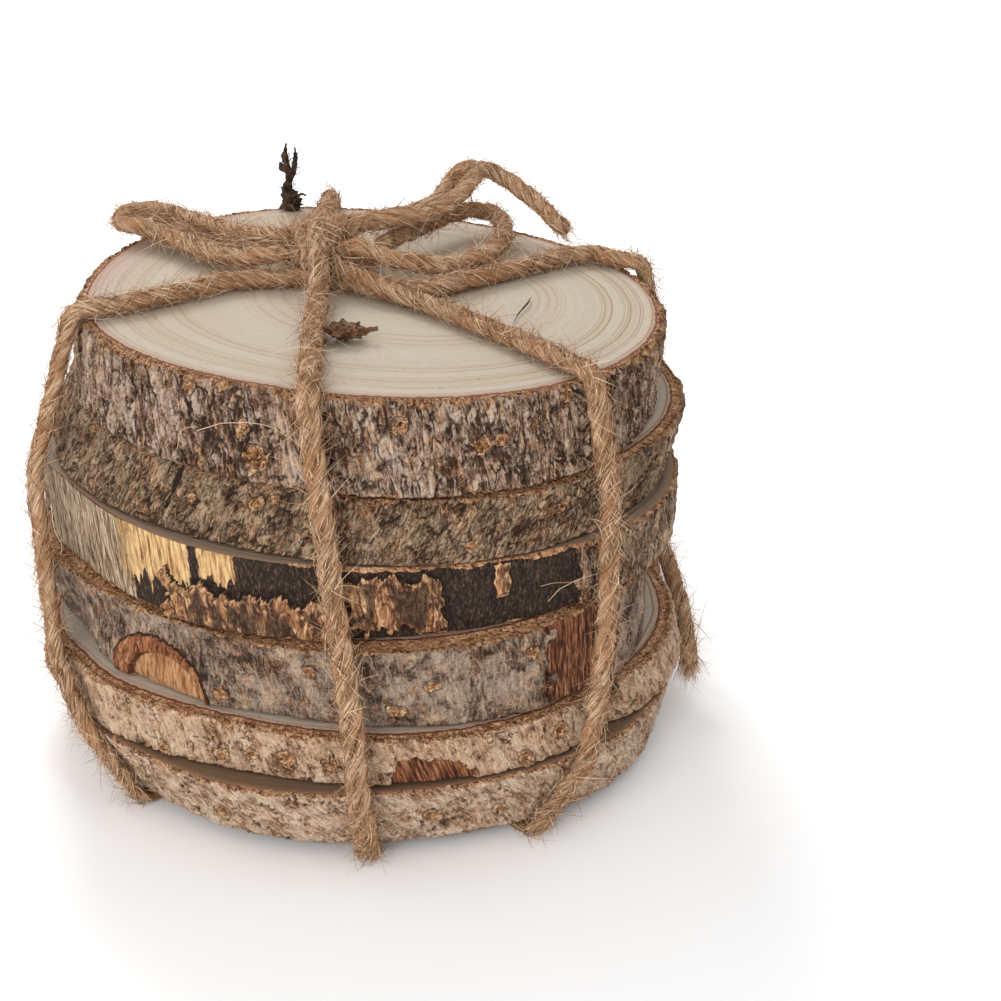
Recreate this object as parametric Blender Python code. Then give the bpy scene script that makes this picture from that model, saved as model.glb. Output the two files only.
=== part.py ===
"""Six sawn wood slices, stacked and tied with jute twine in a bow.

Metres, +Z up, front towards -Y. Lengths below are in millimetres and are scaled once, when a mesh is made.
Angles are in degrees, seen from above, from +X towards +Y, so the front of the stack is at 270.
"""

import math
from dataclasses import dataclass

import bpy
import numpy as np

MM = 0.001
GAP = 0.3  # left clear between pieces that touch

# Saw cuts, from the floor up: height on the stack's axis, rise to the right, rise to the back (degrees)
CUTS = (
    (2.3, 0.0, 0.0),
    (14.2, 0.2, -0.3),
    (24.3, -1.3, 0.6),
    (39.4, 0.8, 0.4),
    (51.9, -2.0, 0.1),
    (62.8, -1.5, 0.5),
    (76.5, -1.4, -1.5),
)

AROUND = 120  # points round a slice
SHARES = (0.0, 0.22, 0.5, 0.78, 1.0)  # levels up a slice's side, as a share of its thickness

# Twine
TWINE = 1.6  # radius where it is round
TOP_FLAT = (1.5, 1.8)  # half thickness and half width where it lies on the top face
SIDE_FLAT = (1.35, 1.9)  # the same down the sides
FOOT_FLAT = (0.95, 2.3)  # the same under the stack, pressed flat by its weight
FOOT_CROSSING = 13.0  # from the axis: inside this the turns cross under the stack
TURN_RISE = 0.05  # each turn crosses this much higher than the one before, so no two faces coincide
BEND = math.radians(30)  # most that a strand turns between two sections
SIDE_STEP = 13.0  # most between two sections down the side
SECTION_SIDES = 8
REST = TOP_FLAT[0] + GAP  # height of a resting strand's middle above the top face
CORD_STEP = 5.0  # between the points of a free strand

KNOT = (-6.6, 10.0, 4.6)  # middle of the knot: plan place, then height above the top face
KNOT_HALF = (5.6, 6.6, 4.3)


@dataclass(frozen=True)
class Patch:
    """A raised or sunken area of bark: angles and height shares it spans, and how far it stands out."""

    start: float
    stop: float
    low: float
    high: float
    depth: float
    oval: bool = False


@dataclass(frozen=True)
class Slice:
    """One slice: its outline at the upper face, how that changes to the lower face, and its bark."""

    name: str
    radius: float
    centre: tuple
    foot_centre: tuple
    foot_growth: float
    waves: tuple  # (crests round the slice, depth, angle of a crest)
    bulges: tuple  # (angle, half width in degrees, depth)
    patches: tuple
    ridge_depth: float
    colour: tuple


SLICES = (
    Slice(
        "slice_1", 54.6, (-0.3, -1.6), (0.9, 0.2), -4.0,
        ((2, 0.7, -38), (3, 0.4, 57), (5, 0.8, -35)),
        ((197, 6, -0.8),), (), 0.28, (0.46, 0.40, 0.34),
    ),
    Slice(
        "slice_2", 53.5, (-0.3, -1.6), (0.8, 0.2), 0.5,
        ((2, 0.4, -59), (3, 1.1, -40), (5, 0.7, -6)),
        ((318, 6, -2.0), (212, 7, -0.9)),
        (Patch(278.5, 287.5, 0.0, 0.5, -0.8),),
        0.25, (0.45, 0.36, 0.28),
    ),
    Slice(
        "slice_3", 51.8, (-2.2, -2.7), (-0.9, 0.2), -1.4,
        ((2, 2.6, -57), (3, 2.1, -51), (5, 0.6, -28)),
        ((205, 8, -1.0),),
        (
            Patch(222, 246, -0.75, 0.75, 1.1, oval=True),
            Patch(226.5, 241.5, -0.5, 0.52, -1.4, oval=True),
            Patch(307, 317, 0.0, 1.0, -0.7),
        ),
        0.22, (0.33, 0.30, 0.28),
    ),
    Slice(
        "slice_4", 53.6, (-0.9, 0.2), (-0.4, 0.5), -0.8,
        ((2, 2.5, -44), (4, 0.7, -26)),
        ((196, 9, 1.2),),
        (
            Patch(238, 269.5, -0.3, 0.5, 1.0),
            Patch(271.5, 287, 0.25, 0.85, 1.0),
            Patch(287.5, 310.5, -0.3, 1.3, -0.6),
            Patch(226, 252, 0.4, 1.3, -0.5),
        ),
        0.2, (0.40, 0.33, 0.26),
    ),
    Slice(
        "slice_5", 50.9, (2.6, 0.5), (-1.2, 0.1), 0.9,
        ((2, 2.7, -44), (5, 0.5, 0)),
        ((190, 9, -0.9),),
        (Patch(234.6, 236.6, 0.35, 1.2, -1.0),),
        0.25, (0.29, 0.25, 0.21),
    ),
    Slice(
        "slice_6", 50.0, (1.7, 1.7), (0.5, 0.1), -0.4,
        ((2, 3.4, -59), (3, 0.8, -15), (4, 0.8, 27)),
        ((108, 7, 0.7),),
        (), 0.36, (0.34, 0.28, 0.24),
    ),
)

# Each turn of twine runs down one side, under the stack and up the other side.
# A strand's way over the top face: (x, y, height above the face), from the knot outwards.
# Its way down the side: (height, angle about the stack's axis).
TURNS = (
    {
        "over_first": (
            (-6.4, 5.0, REST), (-13.0, 3.4, REST), (-18.0, 2.6, REST), (-22.0, 0.2, REST), (-35.1, -11.5, REST)
        ),
        "down_first": ((76.0, 200.5), (51.0, 201.5), (38.0, 207.5), (26.0, 211.5), (14.0, 220.5), (3.0, 223.5)),
        "over_last": (
            (-6.4, 5.0, REST), (4.0, -2.0, REST), (12.2, -0.8, REST), (21.0, 7.0, REST), (35.1, 20.0, REST),
            (40.0, 22.3, REST), (43.4, 19.8, REST),
        ),
        "down_last": ((76.0, 20.5), (50.0, 20.0), (14.0, 22.0), (3.0, 27.0)),
    },
    {
        "over_first": (
            (-7.2, 8.6, 9.3), (-6.4, 3.0, 7.8), (-6.0, -2.4, 3.9), (-5.8, -8.0, REST), (-5.2, -30.0, REST)
        ),
        "down_first": ((76.0, 265.0), (63.0, 266.9), (48.0, 268.8), (31.0, 271.0), (14.0, 272.0), (3.0, 273.0)),
        "over_last": (
            (-7.2, 8.6, 9.3), (-8.5, 14.0, 7.8), (-9.3, 18.4, 4.2), (-9.4, 23.0, REST), (-8.4, 38.0, REST)
        ),
        "down_last": ((76.0, 98.2), (40.0, 97.0), (3.0, 94.0)),
    },
    {
        "over_first": (
            (-6.4, 7.4, 4.6), (-3.4, 3.2, 4.2), (1.4, -0.8, 3.0), (7.4, -5.0, REST), (14.5, -11.6, REST),
            (28.0, -28.0, REST),
        ),
        "down_first": ((76.0, 313.0), (58.0, 315.2), (38.0, 313.2), (24.0, 311.5), (14.0, 309.0), (3.0, 303.5)),
        "over_last": (
            (-6.4, 7.4, 4.6), (-9.4, 13.8, 3.6), (-13.0, 19.8, 2.2), (-18.6, 25.4, REST), (-32.0, 36.0, REST)
        ),
        "down_last": ((76.0, 132.5), (40.0, 130.0), (3.0, 124.0)),
    },
)

# Free strands: (x, y, height above the top face) along each, after its start at the knot
LEFT_LOOP = (
    (-19.3, 17.8, 5.0), (-25.1, 23.2, 4.4), (-31.1, 29.8, 4.1), (-36.2, 34.4, 4.1), (-39.9, 35.6, 4.0),
    (-42.8, 33.4, 3.8), (-43.4, 29.6, 3.6), (-41.9, 27.6, 3.4), (-38.5, 26.2, 3.2), (-34.7, 23.4, 3.0),
    (-30.1, 18.4, 3.0), (-25.4, 13.3, 3.0), (-20.4, 9.0, 3.5),
)
RIGHT_LOOP = (
    (4.4, 17.6, 4.4), (7.9, 23.6, 4.4), (11.6, 30.0, 4.5), (15.5, 35.8, 4.6), (19.6, 38.8, 4.4), (22.9, 37.4, 4.0),
    (24.2, 31.4, 3.7), (24.0, 24.0, 3.4), (21.6, 15.2, 3.4), (17.6, 8.8, 3.6), (12.8, 5.4, 4.0), (7.8, 4.6, 4.8),
    (3.9, 4.9, 5.6),
)
ARCHED_END = (
    (-1.6, 20.8, 6.6), (4.6, 22.6, 7.3), (9.0, 24.4, 7.9), (12.0, 27.0, 8.7), (13.8, 30.8, 9.8), (15.4, 34.8, 11.3),
    (18.0, 38.4, 12.2), (21.6, 39.1, 11.7), (24.7, 38.3, 10.4), (27.5, 36.2, 9.0), (30.4, 33.5, 7.4),
    (32.9, 30.0, 5.8), (35.2, 27.0, 4.4),
)
SHORT_END = (
    (3.0, 18.0, 7.9), (8.4, 20.2, 8.2), (12.6, 23.0, 8.7), (15.6, 26.2, 9.8), (17.6, 29.8, 10.9), (18.6, 32.4, 11.7),
    (19.4, 34.2, 12.2),
)
# Where a free strand leaves the knot: bearing in plan and lift above level (degrees)
LEFT_LOOP_EXITS = ((162, 14), (208, 6))
RIGHT_LOOP_EXITS = ((12, -14), (-33, 16))
ARCHED_EXIT = (78, 14)
SHORT_EXIT = (42, 20)

# The frayed end: it comes out under the third slice and hangs over the rim of the second (x, y, z)
FRAYED_END = (
    (47.3, 9.2, 25.9), (48.3, 12.4, 26.0), (50.2, 14.9, 25.8), (52.4, 15.9, 24.0), (54.0, 13.8, 21.0),
    (55.0, 10.3, 18.6), (56.1, 5.5, 15.4), (56.9, 1.0, 11.4), (57.0, -1.0, 8.0),
)

SPRIG_BEARING = 108.7  # place on the top slice's back rim
SPRIG_INSET = 2.3  # from the outer edge of the bark to the sprig's middle
SPRIG_FOOT = 2.0  # radius of its foot
SPRIG_HEIGHT = 12.4
SCRAP_PLACE = (-0.4, -23.6)
SCRAP_HALF = (2.5, 2.6, 1.1)


def smooth_step(value):
    """Rises smoothly from 0 at 0 to 1 at 1."""
    held = np.clip(value, 0.0, 1.0)
    return held * held * (3.0 - 2.0 * held)


def turned(angle, middle):
    """Signed angle from middle to angle, in degrees, within half a turn."""
    return (np.asarray(angle) - middle + 180.0) % 360.0 - 180.0


def cut_height(cut, x, y):
    """Height of a saw cut over a place in plan."""
    height, right, back = cut
    return height + math.tan(math.radians(right)) * x + math.tan(math.radians(back)) * y


def top_height(x, y):
    """Height of the stack's top face over a place in plan."""
    return cut_height(CUTS[-1], x, y)


def patch_relief(patch, angle, share):
    """How far a patch moves the bark: full inside it, fading over its edge."""
    middle = (patch.start + patch.stop) / 2
    across = turned(angle, middle) / ((patch.stop - patch.start) / 2)
    rise = (share - (patch.low + patch.high) / 2) / ((patch.high - patch.low) / 2)
    if patch.oval:
        inside = 1.0 - np.hypot(across, rise)
    else:
        inside = np.minimum(1.0 - np.abs(across), 1.0 - np.abs(rise))
    return patch.depth * smooth_step(inside / 0.3)


def bark_ridges(wood, index, angle, share):
    """Upright ridges: a sum of waves round the slice with drawn counts, places and slants."""
    rng = np.random.default_rng(100 + index)
    total = np.zeros(np.broadcast(angle, share).shape)
    waves = 9
    for _ in range(waves):
        crests = rng.integers(11, 47)
        start, slant = rng.uniform(0, 2 * math.pi), rng.normal(0, 1.2)
        total += np.cos(crests * np.radians(angle) + start + slant * share)
    return wood.ridge_depth * total / math.sqrt(waves)


def bark_radius(wood, index, angle, share):
    """Distance of the bark from the slice's middle at an angle and a share of its thickness."""
    radius = wood.radius + wood.foot_growth * (1.0 - share)
    for crests, depth, crest in wood.waves:
        radius = radius + depth * np.cos(np.radians(crests * (angle - crest)))
    for middle, half, depth in wood.bulges:
        radius = radius + depth * np.exp(-((turned(angle, middle) / half) ** 2))
    for patch in wood.patches:
        radius = radius + patch_relief(patch, angle, share)
    return radius + bark_ridges(wood, index, angle, share)


def slice_points(index):
    """Rows of points up the side of a slice: its outline on each level, between its two saw cuts."""
    wood = SLICES[index]
    angle = np.arange(AROUND) * 360.0 / AROUND
    share = np.array(SHARES)[:, None]
    radius = bark_radius(wood, index, angle[None, :], share)
    x = wood.centre[0] * share + wood.foot_centre[0] * (1 - share) + radius * np.cos(np.radians(angle))
    y = wood.centre[1] * share + wood.foot_centre[1] * (1 - share) + radius * np.sin(np.radians(angle))
    below = cut_height(CUTS[index], x, y) + (GAP if index else 0.0)
    above = cut_height(CUTS[index + 1], x, y)
    return np.stack([x, y, below * (1 - share) + above * share], axis=-1)


def mesh_object(name, points, faces, colour, roughness, parent):
    """A named object from points in millimetres, with its own material."""
    mesh = bpy.data.meshes.new(name)
    mesh.from_pydata((np.asarray(points) * MM).tolist(), [], faces)
    mesh.validate()
    made = bpy.data.objects.new(name, mesh)
    bpy.context.scene.collection.objects.link(made)
    made.parent = parent
    mesh.materials.append(material(name, colour, roughness))
    return made


def material(name, colour, roughness):
    """A plain Principled material in the piece's own colour."""
    made = bpy.data.materials.new(name)
    made.use_nodes = True
    shader = made.node_tree.nodes["Principled BSDF"]
    shader.inputs["Base Color"].default_value = (*colour, 1.0)
    shader.inputs["Roughness"].default_value = roughness
    shader.inputs["Metallic"].default_value = 0.0
    return made


def ring_faces(rows, across, ends="faces"):
    """Quads between rings of points. The ends are closed by faces, left open, or joined to each other."""
    faces = []
    for r in range(rows if ends == "joined" else rows - 1):
        here, there = r * across, (r + 1) % rows * across
        for c in range(across):
            beside = (c + 1) % across
            faces.append((here + c, here + beside, there + beside, there + c))
    if ends == "faces":
        faces.append(tuple(reversed(range(across))))
        faces.append(tuple(range((rows - 1) * across, rows * across)))
    return faces


def build_slice(index, parent):
    """One slice of wood with its bark, smooth round the side and flat on its saw cuts."""
    wood = SLICES[index]
    points = slice_points(index)
    rows = len(SHARES)
    made = mesh_object(
        wood.name, points.reshape(-1, 3), ring_faces(rows, AROUND), wood.colour, 0.9, parent
    )
    made.data.shade_smooth()
    made.data.set_sharp_from_angle(angle=math.radians(50))
    return made


def stack_profile(bearing_at, window):
    """Outermost bark under a strand: (distance from the axis, height) on every level, from the top down."""
    profile = []
    for index in reversed(range(len(SLICES))):
        for row in slice_points(index)[::-1]:
            bearings = np.degrees(np.arctan2(row[:, 1], row[:, 0]))
            near = np.abs(turned(bearings, bearing_at(row[:, 2].mean()))) < window
            reach = np.hypot(row[near, 0], row[near, 1])
            profile.append((reach.max(), row[near, 2].max() if not profile else row[near, 2].mean()))
    return profile


def taut(profile):
    """The stations that a tight strand touches: the outer side of the profile's convex hull."""
    hull = []
    for station in profile:
        while len(hull) > 1:
            (r0, z0), (r1, z1) = hull[-2], hull[-1]
            if (r1 - r0) * (station[1] - z0) > (station[0] - r0) * (z1 - z0):
                hull.pop()
            else:
                break
        hull.append(station)
    return hull


def blend(table, value):
    """Reads a table of (height, angle) pairs at a height."""
    heights, angles = zip(*sorted(table))
    return float(np.interp(value, heights, angles))


def strand_half(normal):
    """Half thickness and half width of a pressed strand that lies on a surface facing this way."""
    share = abs(normal[2])
    other = TOP_FLAT if normal[2] > 0 else FOOT_FLAT
    return tuple(side * (1 - share) + end * share for side, end in zip(SIDE_FLAT, other))


def side_stations(table):
    """A strand's way down the side: (middle, outward direction) pairs, over the rim, down and under."""
    window = math.degrees(SIDE_FLAT[1] / 50.0) + 2.0
    hull = taut(stack_profile(lambda height: blend(table, height), window))
    # How far the strand's outward side leans up from level: straight up before the rim, straight down after the foot
    leans = [math.pi / 2]
    leans += [math.atan2(r1 - r0, z0 - z1) for (r0, z0), (r1, z1) in zip(hull[:-1], hull[1:])]
    leans.append(-math.pi / 2)
    stations = []
    for i, (reach, height) in enumerate(hull):
        before, after = leans[i], leans[i + 1]
        steps = max(1, round(abs(before - after) / BEND))
        stations += [(reach, height, before + (after - before) * (k + 0.5) / steps) for k in range(steps)]
        if i + 1 < len(hull):
            r1, z1 = hull[i + 1]
            parts = int((height - z1) // SIDE_STEP)
            shares = [part / (parts + 1) for part in range(1, parts + 1)]
            stations += [(reach + (r1 - reach) * s, height + (z1 - height) * s, after) for s in shares]
    way = []
    for reach, height, lean in stations:
        bearing = math.radians(blend(table, height))
        out = np.array([math.cos(bearing), math.sin(bearing), 0.0])
        normal = math.cos(lean) * out + math.sin(lean) * np.array([0.0, 0.0, 1.0])
        way.append((reach * out + (0.0, 0.0, height) + (strand_half(normal)[0] + GAP) * normal, normal))
    return way


def over_top(places, rise):
    """A strand's way over the top face: (middle, straight up) pairs."""
    return [(np.array([x, y, top_height(x, y) + lift + rise]), np.array([0.0, 0.0, 1.0])) for x, y, lift in places]


def under_foot(last, rise):
    """A strand's way under the stack, from where it leaves the side to the crossing in the middle."""
    out = np.array([last[0], last[1], 0.0]) / math.hypot(last[0], last[1])
    places = ((math.hypot(last[0], last[1]) - 3.0, 0.0), (FOOT_CROSSING, rise))
    return [(out * reach + (0.0, 0.0, FOOT_FLAT[0] + lift), np.array([0.0, 0.0, -1.0])) for reach, lift in places]


def turn_way(turn, rise):
    """The whole way of one closed turn: over the top, down, under the stack, up and back over the top."""
    halves = []
    for end in ("first", "last"):
        half = over_top(turn[f"over_{end}"], rise) + side_stations(turn[f"down_{end}"])
        halves.append(half + under_foot(half[-1][0], rise))
    return halves[0] + halves[1][:0:-1]


def flat_tube(way):
    """Points of a pressed strand: an eight-sided section at each station, flat towards what it lies on."""
    middles = np.array([point for point, _ in way])
    ahead = np.roll(middles, -1, axis=0) - np.roll(middles, 1, axis=0)
    ahead /= np.linalg.norm(ahead, axis=1)[:, None]
    turn = 2 * math.pi / SECTION_SIDES
    angles = turn * (np.arange(SECTION_SIDES) + 0.5)
    stretch = 1 / math.cos(turn / 2)
    rows = []
    for middle, forward, (_, normal) in zip(middles, ahead, way):
        half, width = strand_half(normal)
        across = np.cross(forward, normal)
        across /= np.linalg.norm(across)
        up = np.cross(across, forward)
        rows.append(
            middle + stretch * (half * np.cos(angles)[:, None] * up + width * np.sin(angles)[:, None] * across)
        )
    return np.array(rows)


def joined(name, pieces, parent):
    """One closed solid from pieces that overlap, by a Boolean union."""
    body = pieces[0]
    for piece in pieces[1:]:
        union = body.modifiers.new("join", "BOOLEAN")
        union.operation = "UNION"
        union.solver = "EXACT"
        union.object = piece
    graph = bpy.context.evaluated_depsgraph_get()
    whole = bpy.data.meshes.new_from_object(body.evaluated_get(graph))
    body.modifiers.clear()
    body.data = whole
    for piece in pieces[1:]:
        bpy.data.objects.remove(piece)
    body.name = name
    body.parent = parent
    return body


def ball(name, middle, half, colour, parent, rings=7, across=12):
    """An oval ball from rings of points, closed by a point at each pole."""
    polar = np.pi * np.arange(1, rings + 1) / (rings + 1)
    around = 2 * np.pi * np.arange(across) / across
    points = np.stack(
        [
            np.outer(np.sin(polar), np.cos(around)),
            np.outer(np.sin(polar), np.sin(around)),
            np.outer(-np.cos(polar), np.ones(across)),
        ],
        axis=-1,
    ).reshape(-1, 3)
    points = np.vstack([points, [[0, 0, -1], [0, 0, 1]]]) * half + middle
    faces = ring_faces(rings, across, ends="open")
    low, high = rings * across, rings * across + 1
    last = (rings - 1) * across
    faces += [(low, (c + 1) % across, c) for c in range(across)]
    faces += [(high, last + c, last + (c + 1) % across) for c in range(across)]
    return mesh_object(name, points, faces, colour, 0.95, parent)


def build_twine(parent):
    """The held twine: three turns round the stack, fused where they cross, with the knot over them."""
    colour = (0.50, 0.33, 0.18)
    pieces = []
    for count, turn in enumerate(TURNS):
        rows = flat_tube(turn_way(turn, TURN_RISE * count))
        pieces.append(
            mesh_object(
                f"turn_{count}",
                rows.reshape(-1, 3),
                ring_faces(len(rows), SECTION_SIDES, ends="joined"),
                colour,
                0.95,
                parent,
            )
        )
    x, y, lift = KNOT
    pieces.append(ball("knot", np.array([x, y, top_height(x, y) + lift]), np.array(KNOT_HALF), colour, parent))
    return joined("twine", pieces, parent)


def knot_exit(bearing, lift):
    """Start of a free strand: a point just clear of the knot, and one further out along the same direction."""
    level = math.cos(math.radians(lift))
    toward = np.array(
        [level * math.cos(math.radians(bearing)), level * math.sin(math.radians(bearing)), math.sin(math.radians(lift))]
    )
    half = np.array(KNOT_HALF)
    surface = toward * half
    outward = toward / half
    outward /= np.linalg.norm(outward)
    x, y, height = KNOT
    middle = np.array([x, y, top_height(x, y) + height])
    return middle + surface + (GAP + 0.1) * outward, middle + surface + 3.0 * outward


def smooth_route(points, step):
    """Points a step apart on a smooth curve through a route's own points (Catmull-Rom)."""
    route = np.array(points)
    padded = np.vstack([2 * route[0] - route[1], route, 2 * route[-1] - route[-2]])
    fine = []
    for a, b, c, d in zip(padded[:-3], padded[1:-2], padded[2:-1], padded[3:]):
        t = np.linspace(0, 1, 16, endpoint=False)[:, None]
        fine.append(
            0.5 * (2 * b + (c - a) * t + (2 * a - 5 * b + 4 * c - d) * t**2 + (3 * b - a - 3 * c + d) * t**3)
        )
    fine = np.vstack(fine + [route[-1:]])
    along = np.concatenate([[0.0], np.cumsum(np.linalg.norm(np.diff(fine, axis=0), axis=1))])
    stops = np.linspace(0, along[-1], max(3, round(along[-1] / step) + 1))
    return np.stack([np.interp(stops, along, fine[:, k]) for k in range(3)], axis=-1)


def free_strand(name, points, radius, parent):
    """A free strand of twine: a round tube along a smooth route."""
    curve = bpy.data.curves.new(name, "CURVE")
    curve.dimensions = "3D"
    curve.bevel_depth = radius * MM
    curve.bevel_resolution = 2
    curve.use_fill_caps = True
    way = smooth_route(points, CORD_STEP) * MM
    spline = curve.splines.new("POLY")
    spline.points.add(len(way) - 1)
    for point, place in zip(spline.points, way):
        point.co = (*place, 1.0)
    made = bpy.data.objects.new(name, curve)
    bpy.context.scene.collection.objects.link(made)
    made.parent = parent
    curve.materials.append(material(name, (0.53, 0.35, 0.19), 0.95))
    return made


def above_top(places):
    """Places given by their height over the top face, as points."""
    return [(x, y, top_height(x, y) + lift) for x, y, lift in places]


def build_free_strands(parent):
    """The bow's two loops and two ends, and the short frayed end at the side."""
    for name, exits, places in (
        ("bow_loop_left", LEFT_LOOP_EXITS, LEFT_LOOP),
        ("bow_loop_right", RIGHT_LOOP_EXITS, RIGHT_LOOP),
    ):
        start, end = knot_exit(*exits[0]), knot_exit(*exits[1])
        free_strand(name, [*start, *above_top(places), *end[::-1]], TWINE, parent)
    for name, exit_at, places in (
        ("bow_end_arched", ARCHED_EXIT, ARCHED_END),
        ("bow_end_short", SHORT_EXIT, SHORT_END),
    ):
        free_strand(name, [*knot_exit(*exit_at), *above_top(places)], TWINE, parent)
    free_strand("twine_end_frayed", FRAYED_END, TWINE, parent)


def rim_place(bearing, inset):
    """A place on the top slice's upper face, an inset in from the edge of its bark."""
    wood = SLICES[-1]
    radius = float(bark_radius(wood, len(SLICES) - 1, np.array(bearing), np.array(1.0))) - inset
    x = wood.centre[0] + radius * math.cos(math.radians(bearing))
    y = wood.centre[1] + radius * math.sin(math.radians(bearing))
    return np.array([x, y, top_height(x, y)])


def twig(name, points, radii, parent, across=6):
    """A tapered twig along a few points, closed at both ends."""
    points = np.array(points, float)
    ahead = np.gradient(points, axis=0)
    ahead /= np.linalg.norm(ahead, axis=1)[:, None]
    rows = []
    for point, forward, radius in zip(points, ahead, radii):
        side = np.cross(forward, [0.3, 1.0, 0.1])
        side /= np.linalg.norm(side)
        other = np.cross(forward, side)
        angle = 2 * math.pi * np.arange(across) / across
        rows.append(point + radius * (np.cos(angle)[:, None] * side + np.sin(angle)[:, None] * other))
    return mesh_object(
        name, np.array(rows).reshape(-1, 3), ring_faces(len(rows), across), (0.07, 0.045, 0.03), 0.95, parent
    )


def build_sprig(parent):
    """The dry sprig on the back rim: a broad foot, a stem, two prongs and short side rootlets."""
    foot = rim_place(SPRIG_BEARING, SPRIG_INSET) + np.array([0.0, 0.0, GAP + 0.25])

    def at(x, y, share):
        return foot + np.array([x, y, SPRIG_HEIGHT * share])

    stem = [at(0, 0, 0), at(0, 0, 0.09), at(-0.2, 0, 0.2), at(-0.1, 0, 0.5)]
    prong_left = [at(-0.1, 0, 0.42), at(-0.5, 0, 0.62), at(-0.9, 0.1, 0.66), at(-0.4, 0, 0.98)]
    prong_right = [at(-0.1, 0, 0.42), at(0.9, 0.1, 0.66), at(1.1, 0.1, 0.93)]
    rootlet_low = [at(0.2, 0, 0.1), at(1.9, -0.3, 0.24), at(3.1, -0.3, 0.2)]
    rootlet_high = [at(0.0, 0, 0.3), at(1.6, 0.2, 0.38), at(2.7, 0.2, 0.34)]
    pieces = [
        twig("stem", stem, (SPRIG_FOOT, 1.9, 1.1, 0.8), parent, 8),
        twig("prong_left", prong_left, (0.7, 0.9, 1.0, 0.45), parent),
        twig("prong_right", prong_right, (0.7, 0.7, 0.45), parent),
        twig("rootlet_low", rootlet_low, (0.6, 0.45, 0.35), parent, 5),
        twig("rootlet_high", rootlet_high, (0.55, 0.4, 0.35), parent, 5),
    ]
    return joined("dry_sprig", pieces, parent)


def build_scrap(parent):
    """The scrap of bark on the top face: a rough oval scale with a thin stem."""
    x, y = SCRAP_PLACE
    middle = np.array([x, y, top_height(x, y) + SCRAP_HALF[2] + GAP + 0.35])
    colour = (0.16, 0.09, 0.05)
    body = ball("scale", middle, np.array(SCRAP_HALF), colour, parent, rings=5, across=10)
    way = [middle + (1.4, 0, 0.1), middle + (3.4, 0.2, 0.1), middle + (5.0, 0.5, 0.3)]
    stem = twig("scrap_stem", way, (0.7, 0.45, 0.35), parent, 5)
    return joined("bark_scrap", [body, stem], parent)


def stand_on_origin(root, held):
    """Moves the stack so that the middle of its foot is the origin, whatever hangs free of it."""
    graph = bpy.context.evaluated_depsgraph_get()
    corners = []
    for piece in held:
        mesh = piece.evaluated_get(graph).to_mesh()
        flat = np.empty(len(mesh.vertices) * 3, np.float32)
        mesh.vertices.foreach_get("co", flat)
        points = flat.reshape(-1, 3)
        corners += [points.min(axis=0), points.max(axis=0)]
    low, high = np.min(corners, axis=0), np.max(corners, axis=0)
    root.location = (-(low[0] + high[0]) / 2, -(low[1] + high[1]) / 2, -low[2])


def main():
    for leftover in list(bpy.data.objects):
        bpy.data.objects.remove(leftover)
    root = bpy.data.objects.new("stack", None)
    bpy.context.scene.collection.objects.link(root)
    held = [build_slice(index, root) for index in range(len(SLICES))]
    held += [build_twine(root), build_sprig(root), build_scrap(root)]
    build_free_strands(root)
    stand_on_origin(root, held)


main()
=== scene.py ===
"""Looks of six sawn wood slices, stacked and tied with hairy jute twine in a bow.

Sizes are in millimetres about the stack's own axis and are placed in metres when a mesh is made. Angles are
in degrees seen from above, from +X towards +Y, so the front of the stack is at 270. Every surface is worked
out with numpy on a grid of two parameters. The materials are nodes that read the masks kept on the meshes.
"""

import itertools
import logging
import math
from collections.abc import Iterable
from dataclasses import dataclass, field, replace
from enum import Enum

import bpy
import numpy as np
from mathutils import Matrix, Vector


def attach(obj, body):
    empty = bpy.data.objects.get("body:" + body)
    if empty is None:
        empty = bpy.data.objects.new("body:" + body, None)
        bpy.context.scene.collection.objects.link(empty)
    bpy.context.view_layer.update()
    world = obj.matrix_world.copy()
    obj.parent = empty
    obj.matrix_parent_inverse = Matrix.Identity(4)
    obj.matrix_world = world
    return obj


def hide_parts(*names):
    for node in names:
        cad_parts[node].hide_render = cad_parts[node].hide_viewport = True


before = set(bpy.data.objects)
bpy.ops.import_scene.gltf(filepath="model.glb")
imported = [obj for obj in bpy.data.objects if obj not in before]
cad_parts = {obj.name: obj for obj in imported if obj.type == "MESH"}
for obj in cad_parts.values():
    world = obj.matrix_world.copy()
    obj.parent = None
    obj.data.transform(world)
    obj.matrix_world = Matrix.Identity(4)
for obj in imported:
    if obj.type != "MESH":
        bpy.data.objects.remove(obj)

LOG = logging.getLogger("wood_slices")
Array = np.ndarray
Socket = bpy.types.NodeSocket
Node = bpy.types.Node
Material = bpy.types.Material
Colour = tuple[float, float, float]

MM = 0.001
AXIS = np.array([0.59, 0.45, 0.0])  # the stack's axis in the row's frame
GAP = 0.3  # between pieces that touch
UP = np.array([0.0, 0.0, 1.0])

# Saw cuts, from the floor up: height on the axis, rise to the right, rise to the back
CUTS = (
    (2.3, 0.0, 0.0),
    (14.2, 0.2, -0.3),
    (24.3, -1.3, 0.6),
    (39.4, 0.8, 0.4),
    (51.9, -2.0, 0.1),
    (62.8, -1.5, 0.5),
    (76.5, -1.4, -1.5),
)


def cut_height(cut: int, x: Array, y: Array) -> Array:
    """Height of a saw cut over places in plan: its height on the axis plus its two slopes.

    Args:
        cut: number of the cut, from the floor up.
        x: places to the right of the axis.
        y: places behind the axis.

    Returns:
        The height at each place.
    """
    height, right, back = CUTS[cut]
    return height + math.tan(math.radians(right)) * x + math.tan(math.radians(back)) * y


def top_height(x: Array, y: Array) -> Array:
    """Height of the top face over places in plan."""
    return cut_height(len(CUTS) - 1, x, y)


def smooth_step(value: Array) -> Array:
    """Rises from 0 at 0 to 1 at 1 with level ends: 3v² − 2v³."""
    held = np.clip(value, 0.0, 1.0)
    return held * held * (3.0 - 2.0 * held)


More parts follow.
